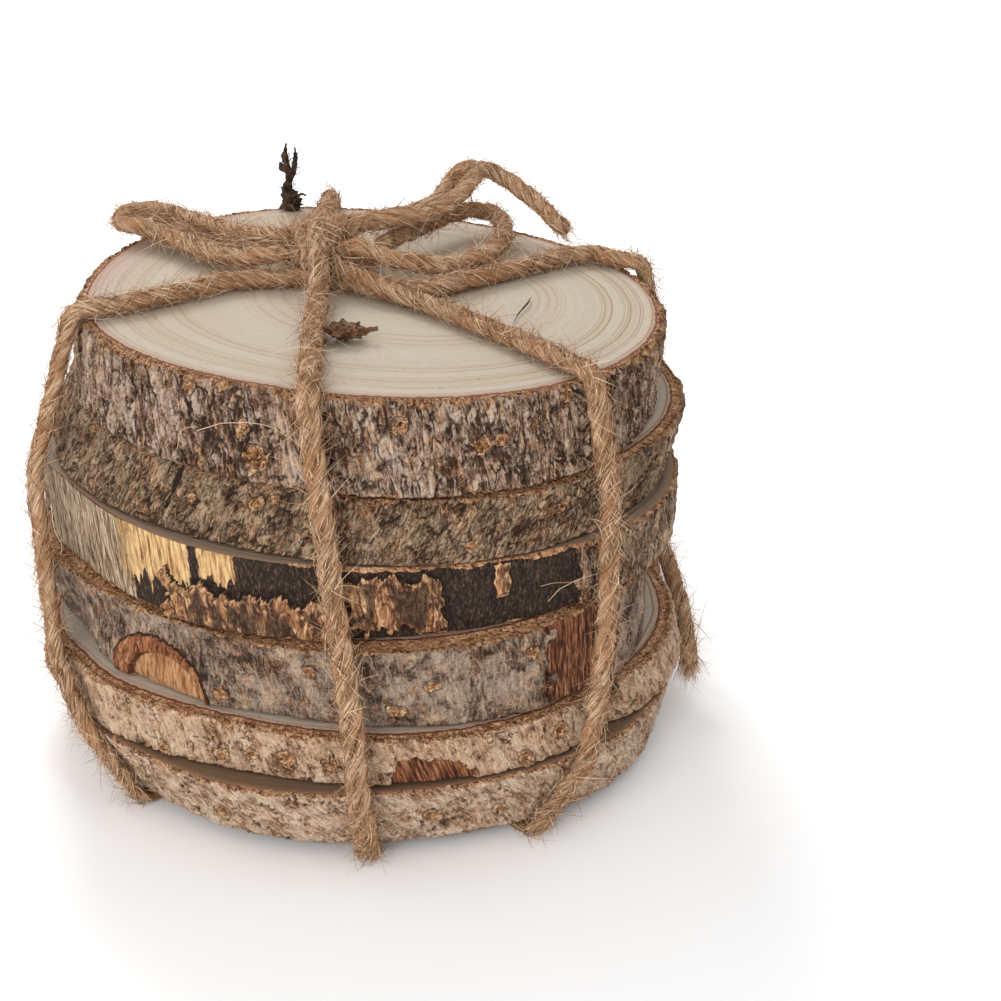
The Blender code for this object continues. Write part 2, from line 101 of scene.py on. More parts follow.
def paint(red: float, green: float, blue: float) -> Colour:
    """The light that a surface reflects, from its colour as a screen shows it, each part from 0 to 255."""
    return tuple(((part / 255.0 + 0.055) / 1.055) ** 2.4 for part in (red, green, blue))


def paints(*tones: Colour) -> tuple[Colour, ...]:
    """The light that each of several screen colours reflects."""
    return tuple(paint(*tone) for tone in tones)


def turned(angle: Array, middle: float) -> Array:
    """Signed angle from middle to angle, within half a turn."""
    return (np.asarray(angle) - middle + 180.0) % 360.0 - 180.0


def unit(vectors: Array) -> Array:
    """Rows of vectors, each made one long."""
    return vectors / np.linalg.norm(vectors, axis=-1)[..., None]


def stacked(*parts: Array | float) -> Array:
    """Points from their coordinates, each spread to the shape that they share."""
    return np.stack(np.broadcast_arrays(*parts), axis=-1)


def scramble(cells: Array, seed: int) -> Array:
    """A repeatable random whole number for each lattice cell: its numbers weighted, added, mixed and shifted.

    Args:
        cells: whole-number lattice places, (..., 3).
        seed: picks another pattern.

    Returns:
        Unsigned 64-bit numbers, (...).
    """
    parts = cells.astype(np.int64).view(np.uint64)
    mixed = parts[..., 0] * np.uint64(0x9E3779B97F4A7C15)
    mixed = mixed + parts[..., 1] * np.uint64(0xC2B2AE3D27D4EB4F)
    mixed = mixed + parts[..., 2] * np.uint64(0x165667B19E3779F9)
    mixed = mixed + np.full(mixed.shape, seed * 7919 + 1, np.uint64) * np.uint64(0xD6E8FEB86659FD93)
    for shift in (30, 27, 31):
        mixed = (mixed ^ (mixed >> np.uint64(shift))) * np.uint64(0xBF58476D1CE4E5B9)
    return mixed ^ (mixed >> np.uint64(32))


def share_of(bits: Array, shift: int) -> Array:
    """Ten of the random bits as a share from 0 to 1."""
    return ((bits >> np.uint64(shift)) & np.uint64(1023)).astype(float) / 1023.0


def noise(points: Array, seed: int = 0) -> Array:
    """Smooth noise: a random slope at every lattice corner, blended by 6t⁵ − 15t⁴ + 10t³ between the corners.

    Args:
        points: places, (..., 3), in lattice cells.
        seed: picks another pattern.

    Returns:
        Values from about -1 to 1, (...).
    """
    cell = np.floor(points)
    inside = points - cell
    ease = inside**3 * (inside * (inside * 6.0 - 15.0) + 10.0)
    total = np.zeros(points.shape[:-1])
    for corner in itertools.product((0, 1), repeat=3):
        at = np.array(corner)
        bits = scramble(cell + at, seed)
        slope = np.stack([share_of(bits, shift) for shift in (3, 19, 41)], axis=-1) * 2.0 - 1.0
        weight = np.prod(np.where(at, ease, 1.0 - ease), axis=-1)
        total += weight * np.sum(slope * (inside - at), axis=-1)
    return total * 1.5


def layered(points: Array, seed: int = 0, layers: int = 3) -> Array:
    """Noise on several scales added up, each twice as fine and half as strong as the one before."""
    return sum(noise(points * 2.0**k, seed + 31 * k) * 0.5**k for k in range(layers))


def plates(points: Array, seed: int = 0) -> tuple[Array, Array]:
    """Cracked plates: each place belongs to the nearest of the random centres, one in every lattice cell.

    Args:
        points: places, (..., 3), in lattice cells.
        seed: picks another pattern.

    Returns:
        How much nearer the plate's own centre is than the next one, which is 0 in a crack, and the plate's
        own random share from 0 to 1.
    """
    cell = np.floor(points)
    near = np.full(points.shape[:-1], 9.0)
    second = near.copy()
    share = np.zeros_like(near)
    for step in itertools.product((-1, 0, 1), repeat=3):
        here = cell + np.array(step)
        bits = scramble(here, seed)
        centre = here + np.stack([share_of(bits, shift) for shift in (2, 17, 33)], axis=-1)
        distance = np.linalg.norm(points - centre, axis=-1)
        closer = distance < near
        second = np.where(closer, near, np.minimum(second, distance))
        share = np.where(closer, share_of(bits, 50), share)
        near = np.minimum(near, distance)
    return second - near, share


def grid_quads(rows: int, across: int, joined_rows: bool = False) -> Array:
    """Quads of a grid that is closed across, as four vertex numbers each.

    Args:
        rows: rows of points.
        across: points in a row, whose last joins its first.
        joined_rows: whether the last row joins the first.

    Returns:
        Vertex numbers, (quads, 4).
    """
    row = np.arange(rows if joined_rows else rows - 1)[:, None] * across
    after = (row + across) % (rows * across)
    here = np.arange(across)[None, :]
    beside = (here + 1) % across
    return np.stack([row + here, row + beside, after + beside, after + here], axis=-1).reshape(-1, 4)


def end_fans(rows: int, across: int) -> Array:
    """Triangles that close a grid's first and last rows, each round one more point after the grid's own.

    Args:
        rows: rows of points.
        across: points in a row, whose last joins its first.

    Returns:
        Vertex numbers, (triangles, 3).
    """
    here = np.arange(across)
    beside = (here + 1) % across
    last = (rows - 1) * across
    low = np.full(across, rows * across)
    first_fan = np.stack([low, beside, here], axis=-1)
    return np.concatenate([first_fan, np.stack([low + 1, last + here, last + beside], axis=-1)])


@dataclass
class Shell:
    """A mesh in the making: points in millimetres, quads, triangles, and values kept on its points."""

    points: Array
    quads: Array
    triangles: Array = field(default_factory=lambda: np.zeros((0, 3), int))
    values: dict[str, Array] = field(default_factory=dict)
    quad_slots: Array | None = None

    def made(self, name: str, materials: list[Material]) -> bpy.types.Object:
        """Makes the object at the origin, with its place in its mesh and smooth faces.

        Args:
            name: the piece's name.
            materials: its materials, in the order of its slots.

        Returns:
            The new object, riding on the root body.
        """
        mesh = bpy.data.meshes.new(name)
        mesh.vertices.add(len(self.points))
        placed = (self.points + AXIS) * MM
        mesh.vertices.foreach_set("co", placed.astype(np.float32).ravel())
        corners = np.concatenate([self.quads.ravel(), self.triangles.ravel()]).astype(np.int32)
        sizes = np.repeat([4, 3], [len(self.quads), len(self.triangles)]).astype(np.int32)
        mesh.loops.add(len(corners))
        mesh.loops.foreach_set("vertex_index", corners)
        mesh.polygons.add(len(sizes))
        mesh.polygons.foreach_set("loop_start", (np.cumsum(sizes) - sizes).astype(np.int32))
        mesh.polygons.foreach_set("use_smooth", np.ones(len(sizes), bool))
        if self.quad_slots is not None:
            mesh.polygons.foreach_set("material_index", self.quad_slots.astype(np.int32))
        mesh.update(calc_edges=True)
        for key, value in self.values.items():
            vector = value.ndim == 2
            kept = mesh.attributes.new(key, "FLOAT_VECTOR" if vector else "FLOAT", "POINT")
            kept.data.foreach_set("vector" if vector else "value", value.astype(np.float32).ravel())
        piece = bpy.data.objects.new(name, mesh)
        bpy.context.scene.collection.objects.link(piece)
        for material in materials:
            mesh.materials.append(material)
        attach(piece, "root")
        LOG.info("%s: %d points, %d faces", name, len(self.points), len(sizes))
        return piece


def merged(shells: list[Shell]) -> Shell:
    """One shell from several, with their points and values one after the other."""
    starts = np.cumsum([0] + [len(shell.points) for shell in shells[:-1]])
    keys = shells[0].values.keys()
    return Shell(
        np.concatenate([shell.points for shell in shells]),
        np.concatenate([shell.quads + start for shell, start in zip(shells, starts)]),
        np.concatenate([shell.triangles + start for shell, start in zip(shells, starts)]),
        {key: np.concatenate([shell.values[key] for shell in shells]) for key in keys},
    )


@dataclass(frozen=True)
class Graph:
    """Short calls that add nodes to one tree and join them."""

    tree: bpy.types.NodeTree

    def node(
        self, kind: str, inputs: dict[int | str, object] | None = None, **settings: object
    ) -> Node:
        """Adds a node.

        Args:
            kind: Blender's name for the node.
            inputs: values or sockets to feed, by the input's name or number.
            settings: the node's own settings.

        Returns:
            The node.
        """
        made = self.tree.nodes.new(kind)
        for key, value in settings.items():
            setattr(made, key, value)
        for key, value in (inputs or {}).items():
            socket = made.inputs[key]
            if isinstance(value, Socket):
                self.tree.links.new(value, socket)
            elif isinstance(value, tuple) and socket.type == "RGBA":
                socket.default_value = (*value, 1.0)
            else:
                socket.default_value = value
        return made

    def math(self, operation: str, *values: object) -> Socket:
        """A Math node on up to three values."""
        return self.node("ShaderNodeMath", dict(enumerate(values)), operation=operation).outputs[0]

    def times(self, first: object, *others: object) -> Socket:
        """The product of two or more values."""
        for other in others:
            first = self.math("MULTIPLY", first, other)
        return first

    def plus(self, value: object, by: object, base: object) -> Socket:
        """A value times another, on top of a third."""
        return self.math("MULTIPLY_ADD", value, by, base)

    def centred(self, value: object) -> Socket:
        """A value less a half, so that it swings both ways."""
        return self.math("SUBTRACT", value, 0.5)

    def kept(self, name: str, vector: bool = False) -> Socket:
        """A value kept on the mesh's points."""
        made = self.node("ShaderNodeAttribute", attribute_name=name)
        return made.outputs["Vector" if vector else "Fac"]

    def place(self) -> Socket:
        """The place on the piece, in metres."""
        return self.node("ShaderNodeTexCoord").outputs["Object"]

    def scaled(self, vector: object, by: tuple[float, float, float]) -> Socket:
        """A vector with each part multiplied."""
        made = self.node("ShaderNodeVectorMath", {0: vector}, operation="MULTIPLY")
        made.inputs[1].default_value = by
        return made.outputs[0]

    def along(self, vector: object, toward: tuple[float, float, float]) -> Socket:
        """How far a vector reaches in a direction."""
        made = self.node("ShaderNodeVectorMath", {0: vector}, operation="DOT_PRODUCT")
        made.inputs[1].default_value = toward
        return made.outputs["Value"]

    def noise(
        self, vector: object, scale: object, detail: float = 2.0, twist: float = 0.0, rough: float = 0.6
    ) -> Socket:
        """A Noise texture's value."""
        feeds = {"Vector": vector, "Scale": scale, "Detail": detail, "Roughness": rough, "Distortion": twist}
        return self.node("ShaderNodeTexNoise", feeds).outputs[0]

    def banded(self, value: object, scale: float, detail: float, rough: float = 0.5) -> Socket:
        """A Noise texture's value that follows one number."""
        feeds = {"W": value, "Scale": scale, "Detail": detail, "Roughness": rough}
        return self.node("ShaderNodeTexNoise", feeds, noise_dimensions="1D").outputs[0]

    def bent(self, vector: object, scale: float, by: float) -> Socket:
        """A vector pushed about by a Noise texture's colour."""
        feeds = {"Vector": vector, "Scale": scale, "Detail": 3.0}
        swirl = self.node("ShaderNodeTexNoise", feeds).outputs["Color"]
        push = self.node("ShaderNodeVectorMath", {0: swirl, 2: vector}, operation="MULTIPLY_ADD")
        push.inputs[1].default_value = (by,) * 3
        return push.outputs[0]

    def cells(self, vector: object, scale: float) -> tuple[Socket, ...]:
        """Random cells: how far a place is from its cell's edge, and two random shares of the cell."""
        feeds = {"Vector": vector, "Scale": scale}
        edge = self.node("ShaderNodeTexVoronoi", feeds, feature="DISTANCE_TO_EDGE")
        cell = self.node("ShaderNodeTexVoronoi", feeds, feature="F1")
        parts = self.node("ShaderNodeSeparateColor", {0: cell.outputs["Color"]})
        return edge.outputs["Distance"], parts.outputs[0], parts.outputs[1]

    def near(self, value: object, at: float, reach: float) -> Socket:
        """A thin line: 1 where a value is at a level, falling to 0 a reach away."""
        return self.window(self.math("ABSOLUTE", self.math("SUBTRACT", value, at)), reach, reach * 0.3)

    def ramp(self, value: object, stops: Iterable[tuple[float, Colour]]) -> Socket:
        """A colour ramp through (place, colour) stops."""
        stops = list(stops)
        made = self.node("ShaderNodeValToRGB", {0: value})
        elements = made.color_ramp.elements
        while len(elements) < len(stops):
            elements.new(0.5)
        for element, (at, colour) in zip(elements, stops):
            element.position = at
            element.color = (*colour, 1.0)
        return made.outputs[0]

    def window(self, value: object, low: float, high: float) -> Socket:
        """Rises smoothly from 0 at low to 1 at high, or falls where low is above high."""
        flipped = low > high
        start, stop = (high, low) if flipped else (low, high)
        feeds = {"Value": value, "From Min": start, "From Max": stop}
        feeds |= {"To Min": float(flipped), "To Max": float(not flipped)}
        return self.node("ShaderNodeMapRange", feeds, interpolation_type="SMOOTHSTEP").outputs[0]

    def mix(self, share: object, first: object, second: object, blend: str = "MIX") -> Socket:
        """One colour turning into another by a share."""
        made = self.node("ShaderNodeMix", data_type="RGBA", blend_type=blend)
        for key, value in ((0, share), (6, first), (7, second)):
            if isinstance(value, Socket):
                self.tree.links.new(value, made.inputs[key])
            else:
                made.inputs[key].default_value = (*value, 1.0) if isinstance(value, tuple) else value
        return made.outputs[2]

    def bump(self, height: object, depth: float, strength: float = 1.0) -> Socket:
        """A normal pushed about by a height, whose full span is depth in metres."""
        feeds = {"Height": height, "Distance": depth, "Strength": strength}
        return self.node("ShaderNodeBump", feeds).outputs[0]


def new_material(name: str) -> tuple[Graph, Node]:
    """A material with one Principled shader, and the graph that feeds it."""
    made = bpy.data.materials.new(name)
    made.use_nodes = True
    return Graph(made.node_tree), made.node_tree.nodes["Principled BSDF"]


def finished(graph: Graph, shader: Node, colour: object, rough: object, normal: object) -> Material:
    """Joins a colour, a roughness and a normal to the shader, and returns its material."""
    for key, value in (("Base Color", colour), ("Roughness", rough), ("Normal", normal)):
        if isinstance(value, Socket):
            graph.tree.links.new(value, shader.inputs[key])
        else:
            shader.inputs[key].default_value = value
    shader.inputs["Specular IOR Level"].default_value = 0.25
    return next(m for m in bpy.data.materials if m.node_tree == graph.tree)


def shared_group(
    name: str, inputs: list[tuple[str, str]], outputs: list[tuple[str, str]]
) -> tuple[Graph, dict[str, Socket], Node]:
    """A shader node group with named sockets.

    Args:
        name: the group's name.
        inputs: (name, socket type) pairs.
        outputs: (name, socket type) pairs.

    Returns:
        Its graph, what it is given by name, and its output node.
    """
    tree = bpy.data.node_groups.new(name, "ShaderNodeTree")
    for side, sockets in (("INPUT", inputs), ("OUTPUT", outputs)):
        for label, kind in sockets:
            tree.interface.new_socket(label, in_out=side, socket_type=kind)
    graph = Graph(tree)
    given = graph.node("NodeGroupInput").outputs
    return graph, {label: given[label] for label, _ in inputs}, graph.node("NodeGroupOutput")


FLOAT, VECTOR, COLOR = "NodeSocketFloat", "NodeSocketVector", "NodeSocketColor"


class Effects:
    """The node groups that several materials share: bark layers, torn edges and grime."""

    def __init__(self) -> None:
        """Builds each group once."""
        self.strata = self._strata()
        self.torn = self._torn()
        self.grime = self._grime()

    def _strata(self) -> bpy.types.NodeTree:
        """Bark texture: cracked plates and small scales, each with its tone, under fibres and blotches."""
        graph, given, out = shared_group(
            "bark_strata",
            [("Grain", VECTOR), ("Place", VECTOR)]
            + [(name, FLOAT) for name in ("Scale", "Twist", "Blotches", "Plates")],
            [("Level", FLOAT), ("Height", FLOAT), ("Crack", FLOAT), ("Edge", FLOAT), ("Warm", FLOAT)],
        )
        grain, place = given["Grain"], given["Place"]
        fibre = graph.noise(grain, given["Scale"], 6.0, given["Twist"], 0.68)
        fine = graph.noise(place, 2.6, 5.0, 0.6, 0.7)
        blotch = graph.noise(place, 0.12, 4.0, 1.2)
        bent = graph.bent(grain, 0.5, 2.6)
        edge, tone, _ = graph.cells(bent, 0.5)
        small_edge, small_tone, odd = graph.cells(bent, 1.5)
        fading = graph.window(graph.noise(place, 0.30, 3.0), 0.42, 0.58)
        wander = graph.noise(grain, 0.42, 5.0, 1.6)
        crack = graph.math("MAXIMUM", graph.window(edge, 0.07, 0.02), graph.near(wander, 0.5, 0.014))
        weight = given["Plates"]
        crack = graph.times(crack, fading, weight)
        pale = graph.times(graph.window(edge, 0.17, 0.11), graph.window(edge, 0.06, 0.09))
        lit = graph.window(graph.noise(place, 0.45, 2.0), 0.46, 0.60)
        warm = graph.window(graph.noise(place, 0.21, 4.0, 1.0), 0.54, 0.60)
        warm = graph.math("MAXIMUM", warm, graph.window(odd, 0.84, 0.88))
        level = graph.plus(graph.centred(fine), 0.8, fibre)
        level = graph.plus(graph.centred(blotch), given["Blotches"], level)
        patchy = graph.plus(graph.centred(small_tone), 0.6, graph.centred(tone))
        level = graph.plus(patchy, graph.times(weight, 0.16), level)
        height = graph.plus(fine, 0.5, fibre)
        height = graph.plus(graph.window(small_edge, 0.0, 0.15), 0.15, height)
        raised = graph.times(graph.window(edge, 0.02, 0.25), weight)
        height = graph.plus(raised, 0.25, height)
        for label, value in (("Level", level), ("Height", height), ("Crack", crack), ("Warm", warm)):
            graph.tree.links.new(value, out.inputs[label])
        graph.tree.links.new(graph.times(pale, lit, weight), out.inputs["Edge"])
        return graph.tree

    def _torn(self) -> bpy.types.NodeTree:
        """Torn inner bark: orange-brown crumbs with dark gaps, laid over a colour where a mask says so."""
        graph, given, out = shared_group(
            "torn_bark", [("Color", COLOR), ("Mask", FLOAT), ("Vector", VECTOR)], [("Color", COLOR)]
        )
        crumbs = graph.noise(given["Vector"], 1.1, 6.0, 1.4, 0.68)
        tones = paints((62, 34, 20), (132, 85, 53), (182, 133, 93), (220, 184, 146))
        orange = graph.ramp(crumbs, zip((0.36, 0.44, 0.52, 0.64), tones))
        colour = graph.mix(given["Mask"], given["Color"], orange)
        graph.tree.links.new(colour, out.inputs["Color"])
        return graph.tree

    def _grime(self) -> bpy.types.NodeTree:
        """Fine dark specks and pale dust, over a colour."""
        graph, given, out = shared_group(
            "grime",
            [("Color", COLOR), ("Vector", VECTOR), ("Specks", FLOAT), ("Dust", FLOAT)],
            [("Color", COLOR)],
        )
        specks = graph.window(graph.noise(given["Vector"], 1.6, 2.0), 0.68, 0.75)
        colour = graph.mix(graph.times(specks, given["Specks"]), given["Color"], paint(96, 66, 48))
        dust = graph.window(graph.noise(given["Vector"], 0.5, 4.0), 0.52, 0.72)
        colour = graph.mix(graph.times(dust, given["Dust"]), colour, paint(200, 184, 160))
        graph.tree.links.new(colour, out.inputs["Color"])
        return graph.tree

    def placed(self, graph: Graph, group: bpy.types.NodeTree, **feeds: object) -> Node:
        """Places a group in a material, with its sockets fed by name."""
        return graph.node("ShaderNodeGroup", node_tree=group, inputs=feeds)

    def over(self, graph: Graph, group: bpy.types.NodeTree, **feeds: object) -> Socket:
        """Places a group in a material and returns its colour."""
        return self.placed(graph, group, **feeds).outputs["Color"]


@dataclass(frozen=True)
class BarkFinish:
    """Colours of one slice's bark, from its furrows to its ridges."""

    tones: tuple[Colour, ...]
    streak_scale: float = 1.5
    blotches: float = 0.35  # how much the wide patches of tone show
    dust: float = 0.15
    depth: float = 0.0010  # of the bump, in metres
    warm: float = 0.75  # how brown the warm patches are
    cracks: float = 0.9  # how dark the cracks are
    plates: float = 1.0  # how much the plates show
    twist: float = 0.35  # how far the streaks swirl

    STOPS = (0.32, 0.42, 0.50, 0.59, 0.72)
    WARM = paints((64, 34, 18), (118, 76, 46), (160, 114, 78), (194, 150, 112), (222, 188, 150))

    def material(self, name: str, effects: Effects) -> Material:
        """Bark: fibres along the grain, blotches, dark furrows, and the masks for torn and bare places."""
        graph, shader = new_material(name)
        grain = graph.kept("grain", vector=True)
        millimetres = graph.scaled(graph.place(), (1000.0,) * 3)
        strata = effects.placed(
            graph, effects.strata, Grain=grain, Place=millimetres, Scale=self.streak_scale,
            Blotches=self.blotches, Plates=self.plates, Twist=self.twist,
        )
        level = graph.plus(graph.kept("tone"), 0.14, strata.outputs["Level"])
        level = graph.math("SUBTRACT", level, 0.06)
        colour = graph.ramp(level, zip(self.STOPS, self.tones))
        warm = graph.times(strata.outputs["Warm"], self.warm)
        colour = graph.mix(warm, colour, graph.ramp(level, zip(self.STOPS, self.WARM)))
        crack = graph.math("MAXIMUM", graph.window(graph.kept("crack"), 0.3, 0.9), strata.outputs["Crack"])
        edge = graph.times(strata.outputs["Edge"], 0.7)
        colour = graph.mix(edge, colour, self.tones[-1])
        colour = effects.over(
            graph, effects.grime, Color=colour, Vector=millimetres, Specks=0.5, Dust=self.dust
        )
        colour = graph.mix(graph.times(crack, self.cracks), colour, paint(44, 24, 14))
        wander = graph.noise(grain, 1.3, 5.0, 0.5, 0.65)
        colour = self._dotted(graph, millimetres, colour)
        colour = self._bare(graph, grain, wander, colour)
        torn = graph.plus(wander, 0.9, graph.math("SUBTRACT", graph.kept("torn"), 0.45))
        torn = graph.window(torn, 0.44, 0.56)
        colour = effects.over(graph, effects.torn, Color=colour, Mask=torn, Vector=millimetres)
        height = graph.plus(crack, -0.5, strata.outputs["Height"])
        height = graph.plus(edge, 0.3, height)
        smooth = graph.plus(graph.kept("inner"), -0.75, 1.0)
        height = graph.times(height, smooth)
        return finished(graph, shader, colour, 0.9, graph.bump(height, self.depth, 1.0))

    def _dotted(self, graph: Graph, millimetres: object, colour: object) -> Socket:
        """Raised dots: crumbly tan corky spots with a dark outline and a dark middle."""
        crumbs = graph.noise(millimetres, 1.3, 5.0, 0.8, 0.7)
        spot = graph.plus(crumbs, 0.9, graph.math("SUBTRACT", graph.kept("dot"), 0.45))
        tones = paints((58, 30, 16), (140, 88, 50), (196, 142, 94), (238, 204, 160))
        cork = graph.ramp(crumbs, zip((0.38, 0.46, 0.53, 0.62), tones))
        colour = graph.mix(graph.times(graph.near(spot, 0.26, 0.12), 0.75), colour, paint(58, 34, 20))
        return graph.mix(graph.times(graph.window(spot, 0.32, 0.46), 0.9), colour, cork)

    def _bare(self, graph: Graph, grain: object, wander: object, colour: object) -> Socket:
        """Lays bare wood, dark inner bark, rust, a knot and loose flakes over the bark by their masks.

        A mask rises from 0 to 1 over three millimetres across a patch's edge, and noise makes it ragged.
        Each flake gets a painted highlight along its rim, and a painted shadow just outside it.
        """
        lines = graph.noise(graph.scaled(grain, (1.0, 1.0, 0.25)), 2.2, 5.0, 0.4)
        crumbs = graph.noise(grain, 1.2, 5.0, 1.0)
        fine = graph.noise(grain, 3.2, 4.0, 0.4)
        layers = (
            ("weathered", lines, paints((84, 60, 40), (152, 124, 96), (198, 172, 142), (228, 208, 182))),
            ("inner", fine, paints((28, 19, 14), (40, 29, 22), (52, 39, 31), (92, 70, 55))),
            ("fresh", lines, paints((126, 86, 50), (182, 142, 96), (202, 166, 116), (214, 184, 138))),
            ("rust", lines, paints((44, 24, 15), (100, 58, 36), (154, 94, 60), (198, 146, 106))),
        )
        for mask, pattern, tones in layers:
            over = graph.ramp(pattern, zip((0.36, 0.46, 0.54, 0.66), tones))
            edge = graph.plus(wander, 0.5, graph.math("SUBTRACT", graph.kept(mask), 0.25))
            colour = graph.mix(graph.window(edge, 0.48, 0.52), colour, over)
            colour = graph.mix(graph.times(graph.near(edge, 0.5, 0.05), 0.6), colour, paint(48, 30, 20))
        colour = self._knot(graph, lines, crumbs, wander, colour)
        tones = paints((70, 40, 24), (126, 84, 55), (166, 120, 84), (210, 172, 132))
        orange = graph.ramp(crumbs, zip((0.36, 0.46, 0.55, 0.68), tones))
        edge = graph.plus(wander, 0.6, graph.math("SUBTRACT", graph.kept("flake"), 0.30))
        wide = graph.noise(grain, 0.30, 4.0, 1.0)
        inner = graph.times(graph.window(edge, 0.60, 0.95), graph.window(wide, 0.40, 0.56))
        over = graph.mix(graph.times(inner, 0.85), orange, colour)
        split, _, _ = graph.cells(graph.bent(grain, 0.6, 3.0), 0.38)
        over = graph.mix(graph.times(graph.window(split, 0.06, 0.02), 0.8), over, paint(48, 28, 18))
        # painted highlight: a pale line just inside each flake's rim, as if its curled edge caught the light
        painted_flake_highlight = graph.times(graph.near(edge, 0.55, 0.045), graph.window(wander, 0.42, 0.58))
        over = graph.mix(graph.times(painted_flake_highlight, 0.8), over, paint(216, 176, 134))
        # painted shadow: a dark band just outside each flake, where its lifted edge would shade the bark
        painted_flake_shadow = graph.mix(graph.near(edge, 0.40, 0.09), colour, paint(34, 21, 14))
        return graph.mix(graph.window(edge, 0.47, 0.51), painted_flake_shadow, over)

    def _knot(
        self, graph: Graph, lines: object, crumbs: object, wander: object, colour: object
    ) -> Socket:
        """A cut branch: a ring of brown bark, a dark line, and tan wood with dark specks inside it."""
        rim = graph.plus(wander, 0.12, graph.math("SUBTRACT", graph.kept("knot"), 0.13))
        tones = paints((78, 40, 22), (136, 80, 48), (172, 114, 74), (206, 158, 118))
        ring = graph.ramp(crumbs, zip((0.36, 0.46, 0.55, 0.68), tones))
        colour = graph.mix(graph.window(rim, 0.0, 0.02), colour, ring)
        colour = graph.mix(graph.window(graph.near(rim, 0.015, 0.03), 0.0, 1.0), colour, paint(58, 32, 20))
        heart = graph.plus(wander, 0.12, graph.math("SUBTRACT", graph.kept("heart"), 0.13))
        tones = paints((142, 88, 50), (188, 132, 86), (206, 154, 108), (222, 180, 138))
        wood = graph.ramp(lines, zip((0.36, 0.46, 0.54, 0.66), tones))
        specks = graph.times(graph.window(crumbs, 0.62, 0.66), graph.window(heart, 0.45, 0.7))
        wood = graph.mix(specks, wood, paint(74, 38, 22))
        colour = graph.mix(graph.window(heart, 0.0, 0.02), colour, wood)
        return graph.mix(graph.times(graph.near(heart, 0.0, 0.05), 0.8), colour, paint(70, 36, 20))


@dataclass(frozen=True)
class SawnFinish:
    """A sawn face: pale wood with growth rings, a reddish line under the bark, and the cut bark."""

    pale: Colour
    ring: Colour
    tint: Colour
    rings: tuple[float, ...] = (0.16, 0.3, 0.42, 0.55, 0.66, 0.76, 0.85, 0.92, 0.965)
    bark: float = 2.6  # width of the cut bark, in millimetres
    specks: float = 0.6
    blush: float = 0.0  # where the outer wood is pink, in degrees, or 0 for nowhere

    def material(self, name: str, effects: Effects) -> Material:
        """Each ring darkens slowly outwards and ends sharply; fine lines run between them near the bark."""
        graph, shader = new_material(name)
        metres = graph.place()
        millimetres = graph.scaled(metres, (1000.0,) * 3)
        wobble = graph.noise(metres, 40.0, 3.0)
        share = graph.plus(wobble, 0.03, graph.math("SUBTRACT", graph.kept("growth"), 0.015))
        dark, light = (0.0, 0.0, 0.0), (1.0, 1.0, 1.0)
        stops = [(0.0, dark)]
        for at in self.rings:
            stops += [(at - 0.012, dark), (at, light), (at + 0.006, dark)]
        line = graph.ramp(share, stops)
        uneven = graph.window(graph.noise(metres, 70.0, 3.0), 0.30, 0.68)
        fine = graph.window(graph.banded(share, 95.0, 2.0, 0.7), 0.52, 0.72)
        outer = graph.plus(graph.window(share, 0.45, 0.95), 0.42, 0.14)
        broad = graph.window(graph.banded(share, 9.0, 1.0), 0.4, 0.7)
        colour = graph.mix(graph.times(broad, 0.5), self.pale, self.tint)
        right = graph.window(graph.along(millimetres, (1.0, 0.0, 0.0)), 8.0, 40.0)
        outer = graph.times(outer, graph.math("ADD", right, 0.8))
        colour = graph.mix(graph.times(fine, outer), colour, self.ring)
        strength = graph.times(line, graph.plus(uneven, 0.32, 0.06))
        colour = graph.mix(strength, colour, self.ring)
        stain = graph.window(graph.noise(metres, 26.0, 2.0), 0.5, 0.75)
        colour = graph.mix(graph.times(stain, 0.4), colour, self.tint)
        pitted = graph.noise(graph.scaled(millimetres, (0.5, 1.6, 1.0)), 2.2, 4.0, 0.0, 0.7)
        pores = graph.window(pitted, 0.40, 0.62)
        colour = graph.mix(graph.times(pores, 0.16), colour, self.ring)
        colour = effects.over(
            graph, effects.grime, Color=colour, Vector=millimetres, Specks=self.specks, Dust=0.0
        )
        inset = graph.plus(graph.noise(metres, 700.0, 3.0), 0.9, graph.kept("inset"))
        if self.blush:
            turn = math.radians(self.blush)
            toward = graph.along(millimetres, (math.cos(turn), math.sin(turn), 0.0))
            pink = graph.times(graph.window(toward, 30.0, 44.0), graph.window(inset, 10.0, 4.0))
            colour = graph.mix(graph.times(pink, 0.42), colour, paint(168, 126, 116))
        cambium = graph.window(inset, self.bark + 1.6, self.bark + 0.35)
        colour = graph.mix(graph.times(cambium, 0.5), colour, paint(164, 122, 98))
        red = graph.window(inset, self.bark + 0.35, self.bark + 0.15)
        colour = graph.mix(red, colour, paint(124, 72, 52))
        torn = graph.window(inset, self.bark + 0.05, self.bark - 0.2)
        colour = effects.over(graph, effects.torn, Color=colour, Mask=torn, Vector=millimetres)
        saw = graph.noise(graph.scaled(millimetres, (0.35, 2.2, 1.0)), 0.8, 3.0)
        rough_bark = graph.times(graph.noise(millimetres, 1.6, 4.0), graph.times(red, 4.0))
        height = graph.math("ADD", graph.times(saw, 0.5), rough_bark)
        return finished(graph, shader, colour, 0.78, graph.bump(height, 0.00025, 0.8))


